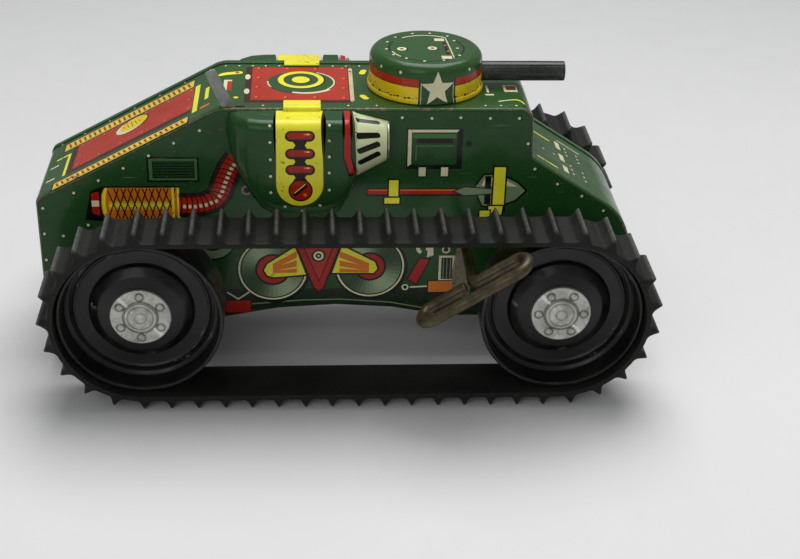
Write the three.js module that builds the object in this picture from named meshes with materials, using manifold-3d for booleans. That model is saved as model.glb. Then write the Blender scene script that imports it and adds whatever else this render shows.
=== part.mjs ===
// A tinplate clockwork toy tank on rubber tracks, as an assembly of named pieces in millimetres.
// The model is drawn with X forward, Y to the tank's left, Z up, and x = 0 midway between the axles,
// y = 0 on the centre plane and z = 0 on the ground. The last lines move it to the centre of its box.
import * as THREE from "three";
import { mergeVertices } from "three/addons/utils/BufferGeometryUtils.js";
import Module from "manifold-3d";

const wasm = await Module();
wasm.setup();

// ---- Driving dimensions ----
const OVERALL_LENGTH = 241.3; // over the tracks
const GAP = 0.3; // between pieces that rest on one another
const TIN = 0.9; // sheet thickness

const WHEEL_RADIUS = 32;
const WHEEL_FACE = 61.8; // centre plane to the rim of a wheel
const WHEEL_WIDTH = 18;
const TRACK_SLACK = 0.4;
const BAND_THICKNESS = 2.25;
const LUG_HEIGHT = 4.5;
const LUG_COUNT = 51;
const TRACK_INNER = 42.7; // centre plane to the track's edges
const TRACK_OUTER = 65.1;

const BAND_INNER_RADIUS = WHEEL_RADIUS + TRACK_SLACK;
const BAND_OUTER_RADIUS = BAND_INNER_RADIUS + BAND_THICKNESS;
const AXLE_HEIGHT = BAND_OUTER_RADIUS + LUG_HEIGHT;
const WHEELBASE = OVERALL_LENGTH - 2 * AXLE_HEIGHT;
const AXLE_RADIUS = 2.3;

const HULL_HALF_WIDTH = 26;
const DECK_HEIGHT = 111.7;
const HULL_REAR = -123.3;
const HULL_FRONT = 113.5;
const HULL_BOTTOM = 20;

const TURRET_X = 30;
const TURRET_RADIUS = 23.2;
const TURRET_TOP = 127.4;
const TURRET_LIFT = 0.4; // running gap over the deck
const GUN_HEIGHT = 117.4;
const GUN_RADIUS = 4;
const GUN_MUZZLE_X = 85.7;

const KEY = { x: 44.8, z: 59.5 };
const KEY_ANGLE = THREE.MathUtils.degToRad(32.6);
const KEY_HALF_SPAN = 25.2;
const KEY_WIRE_RADIUS = 2.4;
const KEY_START_Y = -68; // where the loop leaves the shaft
const KEY_INNER_Y = -70.7; // middle lines of the loop's two runs
const KEY_OUTER_Y = -81;

const GEAR_MODULE = 0.8;
const TEETH = { great: 52, secondPinion: 13, second: 38, drive: 12, governor: 10 };
const MOTOR_RIGHT_Y = -20; // inner faces of the two motor plates
const MOTOR_LEFT_Y = 16;
const MOTOR_PLATE = 1;
const ARBOR = { winding: 2, second: 1.5, governor: 1.2 };

const LEVER_PIVOT = { x: -42, z: 99.6 };
const LEVER_LEAN = THREE.MathUtils.degToRad(24);
const LEVER_LENGTH = 29.2; // pivot to the top
const LEVER_ROD_DROP = 14; // pivot to the rod's pin

const ROUND = 32; // facets of a full turn on large round pieces
const SMALL_ROUND = 12;

// ---- Materials ----
const paint = (color, roughness, metalness) => new THREE.MeshStandardMaterial({ color, roughness, metalness });
const MATERIAL = {
  greenTin: paint(0x2c6138, 0.35, 0.3),
  yellowTin: paint(0xd9cf4a, 0.35, 0.3),
  blackTin: paint(0x1c1f20, 0.4, 0.2),
  blackTube: paint(0x202224, 0.45, 0.4),
  rubber: paint(0x2f3230, 0.9, 0),
  plated: paint(0xb9bbb8, 0.35, 0.9),
  steel: paint(0x8a8c88, 0.4, 0.9),
  blueSteel: paint(0x3b4350, 0.35, 0.9),
  brass: paint(0xa88d4a, 0.4, 0.9),
  agedBrass: paint(0x746a42, 0.55, 0.7),
};

// ---- Solids and cuts ----
function solidOf(geometry) {
  const loose = geometry.index ? geometry.toNonIndexed() : geometry;
  const bare = new THREE.BufferGeometry().setAttribute("position", loose.getAttribute("position").clone());
  const merged = mergeVertices(bare, 1e-4);
  return new wasm.Manifold(
    new wasm.Mesh({
      numProp: 3,
      vertProperties: new Float32Array(merged.attributes.position.array),
      triVerts: new Uint32Array(merged.index.array),
    }),
  );
}

function geometryOf(solid) {
  const mesh = solid.getMesh();
  const geometry = new THREE.BufferGeometry();
  geometry.setAttribute("position", new THREE.BufferAttribute(new Float32Array(mesh.vertProperties), 3));
  geometry.setIndex(new THREE.BufferAttribute(new Uint32Array(mesh.triVerts), 1));
  geometry.computeVertexNormals();
  return geometry;
}

const joined = (base, ...others) => geometryOf(others.reduce((s, g) => s.add(solidOf(g)), solidOf(base)));
const cut = (base, ...tools) => geometryOf(tools.reduce((s, g) => s.subtract(solidOf(g)), solidOf(base)));

// ---- Basic shapes ----
const vec = (x, z) => new THREE.Vector2(x, z);

// A flat outline in the XZ plane, thickened from yLow to yHigh.
function slabXZ(shape, yLow, yHigh, curveSegments = 12) {
  const options = { depth: yHigh - yLow, bevelEnabled: false, curveSegments };
  return new THREE.ExtrudeGeometry(shape, options).rotateX(Math.PI / 2).translate(0, yHigh, 0);
}

function block(xLow, xHigh, yLow, yHigh, zLow, zHigh) {
  const box = new THREE.BoxGeometry(xHigh - xLow, yHigh - yLow, zHigh - zLow);
  return box.translate((xLow + xHigh) / 2, (yLow + yHigh) / 2, (zLow + zHigh) / 2);
}

// A round bar along Y.
function barY(radius, x, z, yLow, yHigh, segments = SMALL_ROUND) {
  const bar = new THREE.CylinderGeometry(radius, radius, yHigh - yLow, segments);
  return bar.translate(x, (yLow + yHigh) / 2, z);
}

// A closed profile of [radius, height] points turned about the Y axis.
function turnedY(profile, segments = ROUND) {
  const onAxis = profile[0][0] === 0 && profile.at(-1)[0] === 0;
  const loop = onAxis ? profile : [...profile, profile[0]];
  const points = loop.map(([r, h]) => vec(r, h));
  if (THREE.ShapeUtils.area(points) < 0) points.reverse();
  return new THREE.LatheGeometry(points, segments);
}

const turnedZ = (profile, segments = ROUND) => turnedY(profile, segments).rotateX(Math.PI / 2);

// Straight runs between corners, each corner rounded by its own radius.
function roundedPath(corners, steps = 5) {
  const points = [];
  corners.forEach(({ x, z, r = 0 }, i) => {
    const corner = vec(x, z);
    if (r === 0) {
      points.push(corner);
      return;
    }
    const back = vec(corners[i - 1].x, corners[i - 1].z).sub(corner).normalize();
    const ahead = vec(corners[i + 1].x, corners[i + 1].z).sub(corner).normalize();
    const half = Math.acos(back.dot(ahead)) / 2;
    const centre = back.clone().add(ahead).normalize().multiplyScalar(r / Math.sin(half)).add(corner);
    const start = back.multiplyScalar(r / Math.tan(half)).add(corner).sub(centre).angle();
    const end = ahead.multiplyScalar(r / Math.tan(half)).add(corner).sub(centre).angle();
    const turn = Math.atan2(Math.sin(end - start), Math.cos(end - start));
    for (let k = 0; k <= steps; k++) {
      const angle = start + (turn * k) / steps;
      points.push(vec(centre.x + r * Math.cos(angle), centre.y + r * Math.sin(angle)));
    }
  });
  return points;
}

// The same path moved to its right by a distance.
function offsetPath(points, distance) {
  return points.map((point, i) => {
    const before = point.clone().sub(points[Math.max(i - 1, 0)]);
    const after = points[Math.min(i + 1, points.length - 1)].clone().sub(point);
    const one = (before.length() > 0 ? before : after).clone().normalize();
    const two = (after.length() > 0 ? after : before).clone().normalize();
    const along = one.clone().add(two).normalize();
    const reach = distance / along.dot(one);
    return vec(point.x + along.y * reach, point.y - along.x * reach);
  });
}

// Six times the volume that a mesh encloses, negative where its faces point inwards.
function signedVolume(positions, index) {
  const corner = (i) => new THREE.Vector3().fromArray(positions, 3 * index[i]);
  let total = 0;
  for (let i = 0; i < index.length; i += 3) total += corner(i).dot(corner(i + 1).cross(corner(i + 2)));
  return total;
}

// A skin over a row of closed loops that all have the same number of points.
function loft(loops) {
  const count = loops[0].length;
  const positions = [];
  const index = [];
  loops.forEach((loop) => loop.forEach((p) => positions.push(p.x, p.y, p.z)));
  for (let i = 0; i + 1 < loops.length; i++)
    for (let j = 0; j < count; j++) {
      const a = i * count + j;
      const b = i * count + ((j + 1) % count);
      index.push(a, b, b + count, a, b + count, a + count);
    }
  [0, loops.length - 1].forEach((which, end) => {
    const centre = loops[which].reduce((s, p) => s.add(p), new THREE.Vector3()).divideScalar(count);
    const hub = positions.length / 3;
    positions.push(centre.x, centre.y, centre.z);
    for (let j = 0; j < count; j++) {
      const a = which * count + j;
      const b = which * count + ((j + 1) % count);
      index.push(...(end === 0 ? [hub, b, a] : [hub, a, b]));
    }
  });
  if (signedVolume(positions, index) < 0) index.reverse();
  const geometry = new THREE.BufferGeometry();
  geometry.setAttribute("position", new THREE.Float32BufferAttribute(positions, 3));
  geometry.setIndex(index);
  geometry.computeVertexNormals();
  return geometry;
}

// ---- The assembly ----
const tank = new THREE.Group();

function place(name, geometry, material) {
  const mesh = new THREE.Mesh(geometry, material);
  mesh.name = name;
  tank.add(mesh);
  return mesh;
}

// The right-hand geometry is used twice, once mirrored to the left.
function placeBothSides(name, rightGeometry, material) {
  place(`right_${name}`, rightGeometry, material);
  place(`left_${name}`, rightGeometry.clone(), material).scale.y = -1;
}

// ---- Hull ----
// The outer line of the hull in side view, from the rear bottom over the deck to the front bottom.
const HULL_LINE = roundedPath([
  { x: HULL_REAR, z: HULL_BOTTOM },
  { x: HULL_REAR, z: 73.6, r: 3 },
  { x: -52, z: DECK_HEIGHT, r: 12 },
  { x: 70.5, z: DECK_HEIGHT, r: 5.5 },
  { x: 71.6, z: 91, r: 2 },
  { x: HULL_FRONT, z: 64, r: 25 },
  { x: HULL_FRONT, z: HULL_BOTTOM },
]);

const LEVER_SLOT = block(-50.6, -41, -24.8, -23, DECK_HEIGHT - 8, DECK_HEIGHT + 3);
const EYELET_SHANK = 3;

function hullTopSheet() {
  const inner = offsetPath(HULL_LINE, TIN);
  const shape = new THREE.Shape([...HULL_LINE, ...inner.reverse()]);
  const sheet = slabXZ(shape, -HULL_HALF_WIDTH, HULL_HALF_WIDTH);
  const pivotHole = new THREE.CylinderGeometry(EYELET_SHANK + GAP, EYELET_SHANK + GAP, 6, SMALL_ROUND);
  pivotHole.rotateX(Math.PI / 2).translate(TURRET_X, 0, DECK_HEIGHT);
  return cut(sheet, LEVER_SLOT, pivotHole);
}

// The pressed-out sponson and its cone-shaped nose, as cross-sections along X.
// Each row: x, depth, height of the top, height of the foot, shoulder radius, foot radius.
const SPONSON = [
  [-48, 0.7, 108, 101, 4, 10],
  [-46.6, 4, 110.2, 94, 4, 10],
  [-44, 8, 110.8, 86.5, 4, 10],
  [-40, 11.2, 110.9, 78.5, 4, 10],
  [-35, 12.5, 110.9, 72, 4, 10],
  [-29, 12.8, 110.9, 68.6, 4, 10],
  [-20, 12.8, 110.9, 67.4, 4, 10],
  [-10, 12.8, 110.9, 68, 4, 10],
  [-5, 12.8, 110.9, 70.5, 4, 10],
  [-1.5, 12.6, 110.9, 76, 5, 10],
  [0.6, 12.6, 110.7, 82.5, 8, 12],
  [2, 12.6, 110, 84.8, 12.6, 12.6],
  [14.4, 7.6, 106.6, 91.4, 7.6, 7.6],
];
const SHEET_UNDERSIDE = DECK_HEIGHT - TIN;
const QUARTER = [0, 22.5, 45, 67.5, 90].map(THREE.MathUtils.degToRad);

function sponsonLoop([x, depth, top, foot, shoulderRadius, footRadius], inset, root) {
  const out = depth - inset;
  const high = top - inset;
  const low = foot + inset;
  const most = Math.min(out - GAP, (high - low) / 2) * 0.98;
  const rootHigh = Math.min(high, SHEET_UNDERSIDE - GAP - 0.1);
  const upper = Math.min(shoulderRadius - inset, most);
  const lower = Math.min(footRadius - inset, most);
  const at = (reach, z) => new THREE.Vector3(x, -(HULL_HALF_WIDTH + reach), z);
  const shoulder = QUARTER.map((a) => at(out - upper + upper * Math.sin(a), high - upper + upper * Math.cos(a)));
  const heel = QUARTER.map((a) => at(out - lower + lower * Math.cos(a), low + lower - lower * Math.sin(a)));
  return [at(-root, rootHigh), at(GAP, rootHigh), ...shoulder, ...heel, at(-root, low)];
}

function sponsonSolid(inset, root) {
  const rows = inset > 0 ? SPONSON.slice(2) : SPONSON;
  const last = rows.at(-1)[0];
  return loft(rows.map((row) => {
    const x = row[0] === last ? last - inset : row[0];
    return sponsonLoop([x, ...row.slice(1)], inset, root);
  }));
}

function sidePlate(withKeyHole) {
  const top = offsetPath(HULL_LINE, TIN + GAP);
  const archFrom = vec(40, HULL_BOTTOM);
  const archTo = vec(-52, HULL_BOTTOM);
  const arch = new THREE.QuadraticBezierCurve(archFrom, vec(-6, HULL_BOTTOM + 10.2), archTo).getPoints(10);
  const outline = new THREE.Shape([...top, ...arch]);
  const face = -HULL_HALF_WIDTH;
  const plate = slabXZ(outline, face, face + TIN);
  const holes = [-WHEELBASE / 2, WHEELBASE / 2].map((x) => barY(4, x, AXLE_HEIGHT, face - 2, face + 3));
  if (withKeyHole) holes.push(barY(3, KEY.x, KEY.z, face - 2, face + 3));
  return cut(joined(plate, sponsonSolid(0, 0.5)), sponsonSolid(TIN, 3), ...holes);
}

// A folded-over tab that locks a side plate to the deck.
function lockTab() {
  const top = DECK_HEIGHT + GAP;
  const edge = HULL_HALF_WIDTH + GAP;
  const fold = new THREE.Shape([
    vec(-19.2, top), vec(-edge, top), vec(-edge, DECK_HEIGHT - 0.5),
    vec(-edge - 0.7, DECK_HEIGHT - 0.5), vec(-edge - 0.7, top + 0.7), vec(-19.2, top + 0.7),
  ]);
  const tab = new THREE.ExtrudeGeometry(fold, { depth: 14.3, bevelEnabled: false });
  // The fold is drawn in (y, z), so its axes are turned to stand across the hull.
  const turn = new THREE.Matrix4().makeBasis(
    new THREE.Vector3(0, 1, 0), new THREE.Vector3(0, 0, 1), new THREE.Vector3(1, 0, 0),
  );
  return tab.applyMatrix4(turn).translate(-26.2, 0, 0);
}

function crossTie(x) {
  const reach = HULL_HALF_WIDTH - TIN - GAP;
  const strap = block(x - 5, x + 5, -reach, reach, HULL_BOTTOM + 1, HULL_BOTTOM + 2);
  const lips = [-reach, reach - 1].map((y) => block(x - 5, x + 5, y, y + 1, HULL_BOTTOM + 1.5, HULL_BOTTOM + 8));
  return joined(strap, ...lips);
}

const BUSH_REACH = 1.6; // how far a bush stands out of the side plate

function axleBush(x) {
  const inner = -(HULL_HALF_WIDTH - TIN - GAP);
  const outer = -(HULL_HALF_WIDTH + BUSH_REACH);
  const bore = AXLE_RADIUS + GAP;
  const profile = [
    [bore, inner + 1.2], [5.5, inner + 1.2], [5.5, inner], [3.7, inner], [3.7, outer], [bore, outer],
  ];
  return turnedY(profile, SMALL_ROUND).translate(x, 0, AXLE_HEIGHT);
}

function buildHull() {
  place("hull_top_sheet", hullTopSheet(), MATERIAL.greenTin);
  place("right_side_plate", sidePlate(true), MATERIAL.greenTin);
  place("left_side_plate", sidePlate(false), MATERIAL.greenTin).scale.y = -1;
  placeBothSides("lock_tab", lockTab(), MATERIAL.yellowTin);
  place("rear_cross_tie", crossTie(-60), MATERIAL.steel);
  place("front_cross_tie", crossTie(100), MATERIAL.steel);
  placeBothSides("rear_axle_bush", axleBush(-WHEELBASE / 2), MATERIAL.steel);
  placeBothSides("front_axle_bush", axleBush(WHEELBASE / 2), MATERIAL.steel);
}

// ---- Tracks ----
// The point and the outward direction at a distance along the loop, starting above the front axle.
function loopPose(distance, radius) {
  const half = WHEELBASE / 2;
  const turn = Math.PI * radius;
  if (distance < WHEELBASE) return { x: half - distance, z: AXLE_HEIGHT, angle: Math.PI / 2 };
  if (distance < WHEELBASE + turn) {
    return { x: -half, z: AXLE_HEIGHT, angle: Math.PI / 2 + (distance - WHEELBASE) / radius };
  }
  const below = distance - WHEELBASE - turn;
  if (below < WHEELBASE) return { x: below - half, z: AXLE_HEIGHT, angle: -Math.PI / 2 };
  return { x: half, z: AXLE_HEIGHT, angle: -Math.PI / 2 + (below - WHEELBASE) / radius };
}

// One wedge-shaped lug: wide foot in the band, thin crest, its outer end sloping down to the band's edge.
function lug(distance, pitchRadius) {
  const { x, z, angle } = loopPose(distance, pitchRadius);
  const out = vec(Math.cos(angle), Math.sin(angle));
  const along = vec(-out.y, out.x);
  const ring = (radius, half, yOuter, yInner) =>
    [[-half, yOuter], [half, yOuter], [half, yInner], [-half, yInner]].map(([s, y]) =>
      new THREE.Vector3(x + out.x * radius + along.x * s, y, z + out.y * radius + along.y * s));
  const foot = ring(BAND_OUTER_RADIUS - 0.5, 2.5, -TRACK_OUTER, -TRACK_INNER);
  const crest = ring(BAND_OUTER_RADIUS + LUG_HEIGHT, 0.55, -TRACK_OUTER + 1.5, -TRACK_INNER - 1.2);
  return loft([foot, crest]);
}

function track() {
  const half = WHEELBASE / 2;
  const stadium = (path, r) => {
    path.moveTo(half, AXLE_HEIGHT + r);
    path.lineTo(-half, AXLE_HEIGHT + r);
    path.absarc(-half, AXLE_HEIGHT, r, Math.PI / 2, (3 * Math.PI) / 2, false);
    path.lineTo(half, AXLE_HEIGHT - r);
    path.absarc(half, AXLE_HEIGHT, r, -Math.PI / 2, Math.PI / 2, false);
    return path;
  };
  const band = stadium(new THREE.Shape(), BAND_OUTER_RADIUS);
  band.holes.push(stadium(new THREE.Path(), BAND_INNER_RADIUS));
  const pitchRadius = BAND_INNER_RADIUS + BAND_THICKNESS / 2;
  const length = 2 * WHEELBASE + 2 * Math.PI * pitchRadius;
  const lugs = Array.from({ length: LUG_COUNT }, (_, i) => lug(((i + 0.5) * length) / LUG_COUNT, pitchRadius));
  return joined(slabXZ(band, -TRACK_OUTER, -TRACK_INNER, 18), ...lugs);
}

// ---- Wheels ----
// Profiles run in [radius, depth behind the rim], and depth 0 lies on the wheel's outer face.
const fromRim = (profile) => profile.map(([r, depth]) => [r, -WHEEL_FACE + depth]);
const HUB_BORE = AXLE_RADIUS + GAP;
const BACK_DEPTH = 1.3; // rear edge of the drum to the back of the back plate

function wheelShell() {
  return turnedY(fromRim([
    [HUB_BORE, 3.9], [11.5, 3.9], [16.5, 5.5], [20.5, 9.2], [28.4, 9.7], [29.9, 8.3], [30.1, 1], [31.2, 0],
    [WHEEL_RADIUS, 0.9], [WHEEL_RADIUS, WHEEL_WIDTH], [30.8, WHEEL_WIDTH], [30.8, 11.1], [19.9, 10.6],
    [15.8, 7.1], [11.2, 5.3], [HUB_BORE, 5.3],
  ]));
}

function wheelBack() {
  return turnedY(fromRim([
    [HUB_BORE, WHEEL_WIDTH - 4], [5, WHEEL_WIDTH - 4], [5, WHEEL_WIDTH + GAP],
    [WHEEL_RADIUS - 0.4, WHEEL_WIDTH + GAP], [WHEEL_RADIUS - 0.4, WHEEL_WIDTH + BACK_DEPTH],
    [HUB_BORE, WHEEL_WIDTH + BACK_DEPTH],
  ]));
}

// A sleeve that holds a wheel off the hull's bush.
function axleSpacer() {
  const from = -HULL_HALF_WIDTH - BUSH_REACH - GAP;
  const to = -WHEEL_FACE + WHEEL_WIDTH + BACK_DEPTH + GAP;
  return turnedY([[HUB_BORE, to], [3.6, to], [3.6, from], [HUB_BORE, from]], SMALL_ROUND);
}

const CAP_BOLTS = 6;

function hubCap(quarterTurn) {
  const disc = turnedY(fromRim([
    [0, 3.6], [12, 3.6], [12, 2.9], [11.4, 2.5], [6.4, 2.5], [5.8, 1.7], [4.6, 1.7], [4, 2], [0, 2],
  ]), 24);
  const bolts = Array.from({ length: CAP_BOLTS }, (_, i) => {
    const angle = quarterTurn + (i * 2 * Math.PI) / CAP_BOLTS;
    return barY(0.9, 8.9 * Math.cos(angle), 8.9 * Math.sin(angle), -WHEEL_FACE + 1.9, -WHEEL_FACE + 2.8, 6);
  });
  return joined(disc, ...bolts);
}

function buildAxleSet(end, x, capTurn) {
  const at = (geometry) => geometry.translate(x, 0, AXLE_HEIGHT);
  const reach = WHEEL_FACE - 4;
  place(`${end}_axle`, barY(AXLE_RADIUS, x, AXLE_HEIGHT, -reach, reach), MATERIAL.steel);
  placeBothSides(`${end}_axle_spacer`, at(axleSpacer()), MATERIAL.steel);
  placeBothSides(`${end}_wheel`, at(wheelShell()), MATERIAL.blackTin);
  placeBothSides(`${end}_wheel_back`, at(wheelBack()), MATERIAL.blackTin);
  placeBothSides(`${end}_hub_cap`, at(hubCap(capTurn)), MATERIAL.plated);
}

// ---- Clockwork ----
// The half angle that an involute tooth takes up at a radius.
function toothHalfAngle(teeth, radius) {
  const pitch = (GEAR_MODULE * teeth) / 2;
  const pressure = THREE.MathUtils.degToRad(20);
  const involute = (a) => Math.tan(a) - a;
  const base = pitch * Math.cos(pressure);
  const slope = radius > base ? Math.acos(base / radius) : 0;
  const slack = 0.14 / pitch;
  return Math.PI / (2 * teeth) + involute(pressure) - involute(slope) - slack;
}

// A spur gear about Y. phase is the angle of one tooth's middle, measured from +X towards +Z.
function gear(teeth, phase, bore, yLow, yHigh, centre) {
  const pitch = (GEAR_MODULE * teeth) / 2;
  const root = pitch - 1.15 * GEAR_MODULE;
  const tip = pitch + 0.8 * GEAR_MODULE;
  const points = [];
  for (let i = 0; i < teeth; i++) {
    const middle = phase + (i * 2 * Math.PI) / teeth;
    const flank = [root, tip].map((r) => [r, toothHalfAngle(teeth, r)]);
    flank.forEach(([r, half]) => points.push(vec(r * Math.cos(middle - half), r * Math.sin(middle - half))));
    flank.reverse();
    flank.forEach(([r, half]) => points.push(vec(r * Math.cos(middle + half), r * Math.sin(middle + half))));
  }
  const shape = new THREE.Shape(points);
  shape.holes.push(new THREE.Path().absarc(0, 0, bore, 0, 2 * Math.PI, true));
  return slabXZ(shape, yLow, yHigh, 8).translate(centre.x, 0, centre.z);
}

// The phase that puts a driven gear in mesh with a driver of known phase.
function meshPhase(driver, driverPhase, driverAt, driven, drivenAt) {
  const toward = Math.atan2(drivenAt.z - driverAt.z, drivenAt.x - driverAt.x);
  const step = (2 * Math.PI) / driver;
  const ahead = (((driverPhase - toward) % step) + step) % step;
  return toward + Math.PI + Math.PI / driven - (ahead * driver) / driven;
}

const pitchGap = (a, b) => (GEAR_MODULE * (a + b)) / 2;
const MESH_EASE = 0.15; // added to each pair's centre distance

// The second arbor stands above the line from the key to the front axle, at both gears' mesh distances.
function secondArborAt(key, axle) {
  const toKey = pitchGap(TEETH.great, TEETH.secondPinion) + MESH_EASE;
  const toAxle = pitchGap(TEETH.second, TEETH.drive) + MESH_EASE;
  const span = Math.hypot(axle.x - key.x, axle.z - key.z);
  const heading = Math.atan2(axle.z - key.z, axle.x - key.x);
  const lift = Math.acos((toKey ** 2 + span ** 2 - toAxle ** 2) / (2 * toKey * span));
  return { x: key.x + toKey * Math.cos(heading + lift), z: key.z + toKey * Math.sin(heading + lift) };
}

const FRONT_AXLE = { x: WHEELBASE / 2, z: AXLE_HEIGHT };
const SECOND = secondArborAt(KEY, FRONT_AXLE);
const GOVERNOR_HEADING = THREE.MathUtils.degToRad(100);
const GOVERNOR_REACH = pitchGap(TEETH.second, TEETH.governor) + MESH_EASE;
const GOVERNOR = {
  x: SECOND.x + GOVERNOR_REACH * Math.cos(GOVERNOR_HEADING),
  z: SECOND.z + GOVERNOR_REACH * Math.sin(GOVERNOR_HEADING),
};
const PILLARS = { lower_rear: [24, 32], upper_rear: [24, 84], upper_front: [88, 64], lower_front: [60, 29] };

function motorPlate(inner, outer) {
  const outline = new THREE.Shape([vec(17, 25), vec(90, 25), vec(94, 31), vec(94, 68), vec(70, 88), vec(17, 88)]);
  const yLow = Math.min(inner, outer);
  const yHigh = Math.max(inner, outer);
  const hole = ({ x, z }, r) => barY(r, x, z, yLow - 2, yHigh + 2);
  return cut(
    slabXZ(outline, yLow, yHigh),
    hole(KEY, ARBOR.winding + GAP),
    hole(SECOND, ARBOR.second + GAP),
    hole(GOVERNOR, ARBOR.governor + GAP),
    hole(FRONT_AXLE, AXLE_RADIUS + GAP),
  );
}

// A flat spiral with a straight tail that runs to the lower rear pillar.
function mainspring() {
  const inner = 3;
  const outer = 15.6;
  const strip = 0.7;
  const [pillarX, pillarZ] = PILLARS.lower_rear;
  const reach = Math.hypot(pillarX - KEY.x, pillarZ - KEY.z);
  const toPillar = Math.atan2(pillarZ - KEY.z, pillarX - KEY.x);
  const end = toPillar - Math.acos(outer / reach) + 10 * Math.PI;
  const start = end - 9.6 * Math.PI;
  const steps = 96;
  const spine = Array.from({ length: steps + 1 }, (_, i) => {
    const r = inner + ((outer - inner) * i) / steps;
    const a = start + ((end - start) * i) / steps;
    return vec(KEY.x + r * Math.cos(a), KEY.z + r * Math.sin(a));
  });
  const tail = vec(pillarX, pillarZ).sub(spine.at(-1));
  spine.push(spine.at(-1).clone().add(tail.setLength(tail.length() - 2.8)));
  const shape = new THREE.Shape([...offsetPath(spine, strip / 2), ...offsetPath(spine, -strip / 2).reverse()]);
  return slabXZ(shape, -18.5, -8.5);
}

function ratchetWheel() {
  const teeth = 14;
  const points = [];
  for (let i = 0; i < teeth; i++) {
    const a = (i * 2 * Math.PI) / teeth;
    const b = ((i + 0.08) * 2 * Math.PI) / teeth;
    points.push(vec(5 * Math.cos(a), 5 * Math.sin(a)), vec(6.6 * Math.cos(b), 6.6 * Math.sin(b)));
  }
  const shape = new THREE.Shape(points);
  shape.holes.push(new THREE.Path().absarc(0, 0, ARBOR.winding + GAP, 0, 2 * Math.PI, true));
  return slabXZ(shape, -4.8, -3.6, 8).translate(KEY.x, 0, KEY.z);
}

// A click that sits on a stud of the great wheel and points at the ratchet.
function ratchetPawl() {
  const arm = new THREE.Shape([vec(-1.6, 13.4), vec(1.8, 13.4), vec(1.8, 10.8), vec(-3, 7), vec(-3.8, 7.6)]);
  const stud = barY(1, 0, 12, -5, -3.2, 10);
  return joined(slabXZ(arm, -4.8, -3.6), stud).translate(KEY.x, 0, KEY.z);
}

function governorFly() {
  const hub = turnedY([[1.5, -24.3], [3, -24.3], [3, -21.5], [1.5, -21.5]], SMALL_ROUND);
  const rim = turnedY([[7.6, -23.9], [9, -23.9], [9, -21.9], [7.6, -21.9]], 24);
  const spokes = [block(-8, -2.6, -23.5, -22.3, -1.2, 1.2), block(2.6, 8, -23.5, -22.3, -1.2, 1.2)];
  return joined(hub, rim, ...spokes).translate(GOVERNOR.x, 0, GOVERNOR.z);
}

function buildClockwork() {
  const { brass, steel, blueSteel } = MATERIAL;
  place("right_motor_plate", motorPlate(MOTOR_RIGHT_Y, MOTOR_RIGHT_Y - MOTOR_PLATE), steel);
  place("left_motor_plate", motorPlate(MOTOR_LEFT_Y, MOTOR_LEFT_Y + MOTOR_PLATE), steel);
  for (const [where, [x, z]] of Object.entries(PILLARS)) {
    place(`${where}_motor_pillar`, barY(2, x, z, MOTOR_RIGHT_Y + GAP, MOTOR_LEFT_Y - GAP, 12), steel);
  }
  place("mainspring", mainspring(), blueSteel);

  const greatPhase = Math.atan2(SECOND.z - KEY.z, SECOND.x - KEY.x);
  const secondPhase = Math.atan2(FRONT_AXLE.z - SECOND.z, FRONT_AXLE.x - SECOND.x);
  const pinionPhase = meshPhase(TEETH.great, greatPhase, KEY, TEETH.secondPinion, SECOND);
  const drivePhase = meshPhase(TEETH.second, secondPhase, SECOND, TEETH.drive, FRONT_AXLE);
  const governorPhase = meshPhase(TEETH.second, secondPhase, SECOND, TEETH.governor, GOVERNOR);

  place("great_wheel", gear(TEETH.great, greatPhase, ARBOR.winding + GAP, -6.6, -5.3, KEY), brass);
  place("ratchet_wheel", ratchetWheel(), steel);
  place("ratchet_pawl", ratchetPawl(), steel);
  place("second_pinion", gear(TEETH.secondPinion, pinionPhase, ARBOR.second + GAP, -8.4, -3.4, SECOND), steel);
  place("second_wheel", gear(TEETH.second, secondPhase, ARBOR.second + GAP, 1, 2.4, SECOND), brass);
  place("drive_pinion", gear(TEETH.drive, drivePhase, AXLE_RADIUS + GAP, -0.5, 4, FRONT_AXLE), steel);
  place("governor_pinion", gear(TEETH.governor, governorPhase, ARBOR.governor + GAP, 0, 3.4, GOVERNOR), steel);
  place("governor_fly", governorFly(), brass);

  const windingEnd = MOTOR_LEFT_Y + 2.5;
  place("winding_arbor", barY(ARBOR.winding, KEY.x, KEY.z, -23.7, windingEnd), steel);
  place("second_arbor", barY(ARBOR.second, SECOND.x, SECOND.z, -22.5, windingEnd, 12), steel);
  place("governor_arbor", barY(ARBOR.governor, GOVERNOR.x, GOVERNOR.z, -24.7, windingEnd, 12), steel);
}

// ---- Winding key ----
// One wire that leaves the shaft, turns along the inner run, goes round the loop and stops beside the shaft.
function keyWings() {
  const side = KEY_HALF_SPAN - KEY_WIRE_RADIUS;
  const bend = (KEY_INNER_Y - KEY_OUTER_Y) / 2 - 0.05;
  const wireEnd = -KEY_WIRE_RADIUS - 0.7;
  const line = roundedPath([
    { x: 0, z: KEY_START_Y },
    { x: 0, z: KEY_INNER_Y, r: 2.6 },
    { x: side, z: KEY_INNER_Y, r: bend },
    { x: side, z: KEY_OUTER_Y, r: bend },
    { x: -side, z: KEY_OUTER_Y, r: bend },
    { x: -side, z: KEY_INNER_Y, r: bend },
    { x: wireEnd, z: KEY_INNER_Y },
  ]);
  const facets = 12;
  const rings = line.map((point, i) => {
    const way = line[Math.min(i + 1, line.length - 1)].clone().sub(line[Math.max(i - 1, 0)]).normalize();
    return Array.from({ length: facets }, (_, k) => {
      const a = (k * 2 * Math.PI) / facets;
      const reach = KEY_WIRE_RADIUS * Math.cos(a);
      return new THREE.Vector3(point.x - way.y * reach, point.y + way.x * reach, KEY_WIRE_RADIUS * Math.sin(a));
    });
  });
  return loft(rings).rotateY(-KEY_ANGLE).translate(KEY.x, 0, KEY.z);
}

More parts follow.
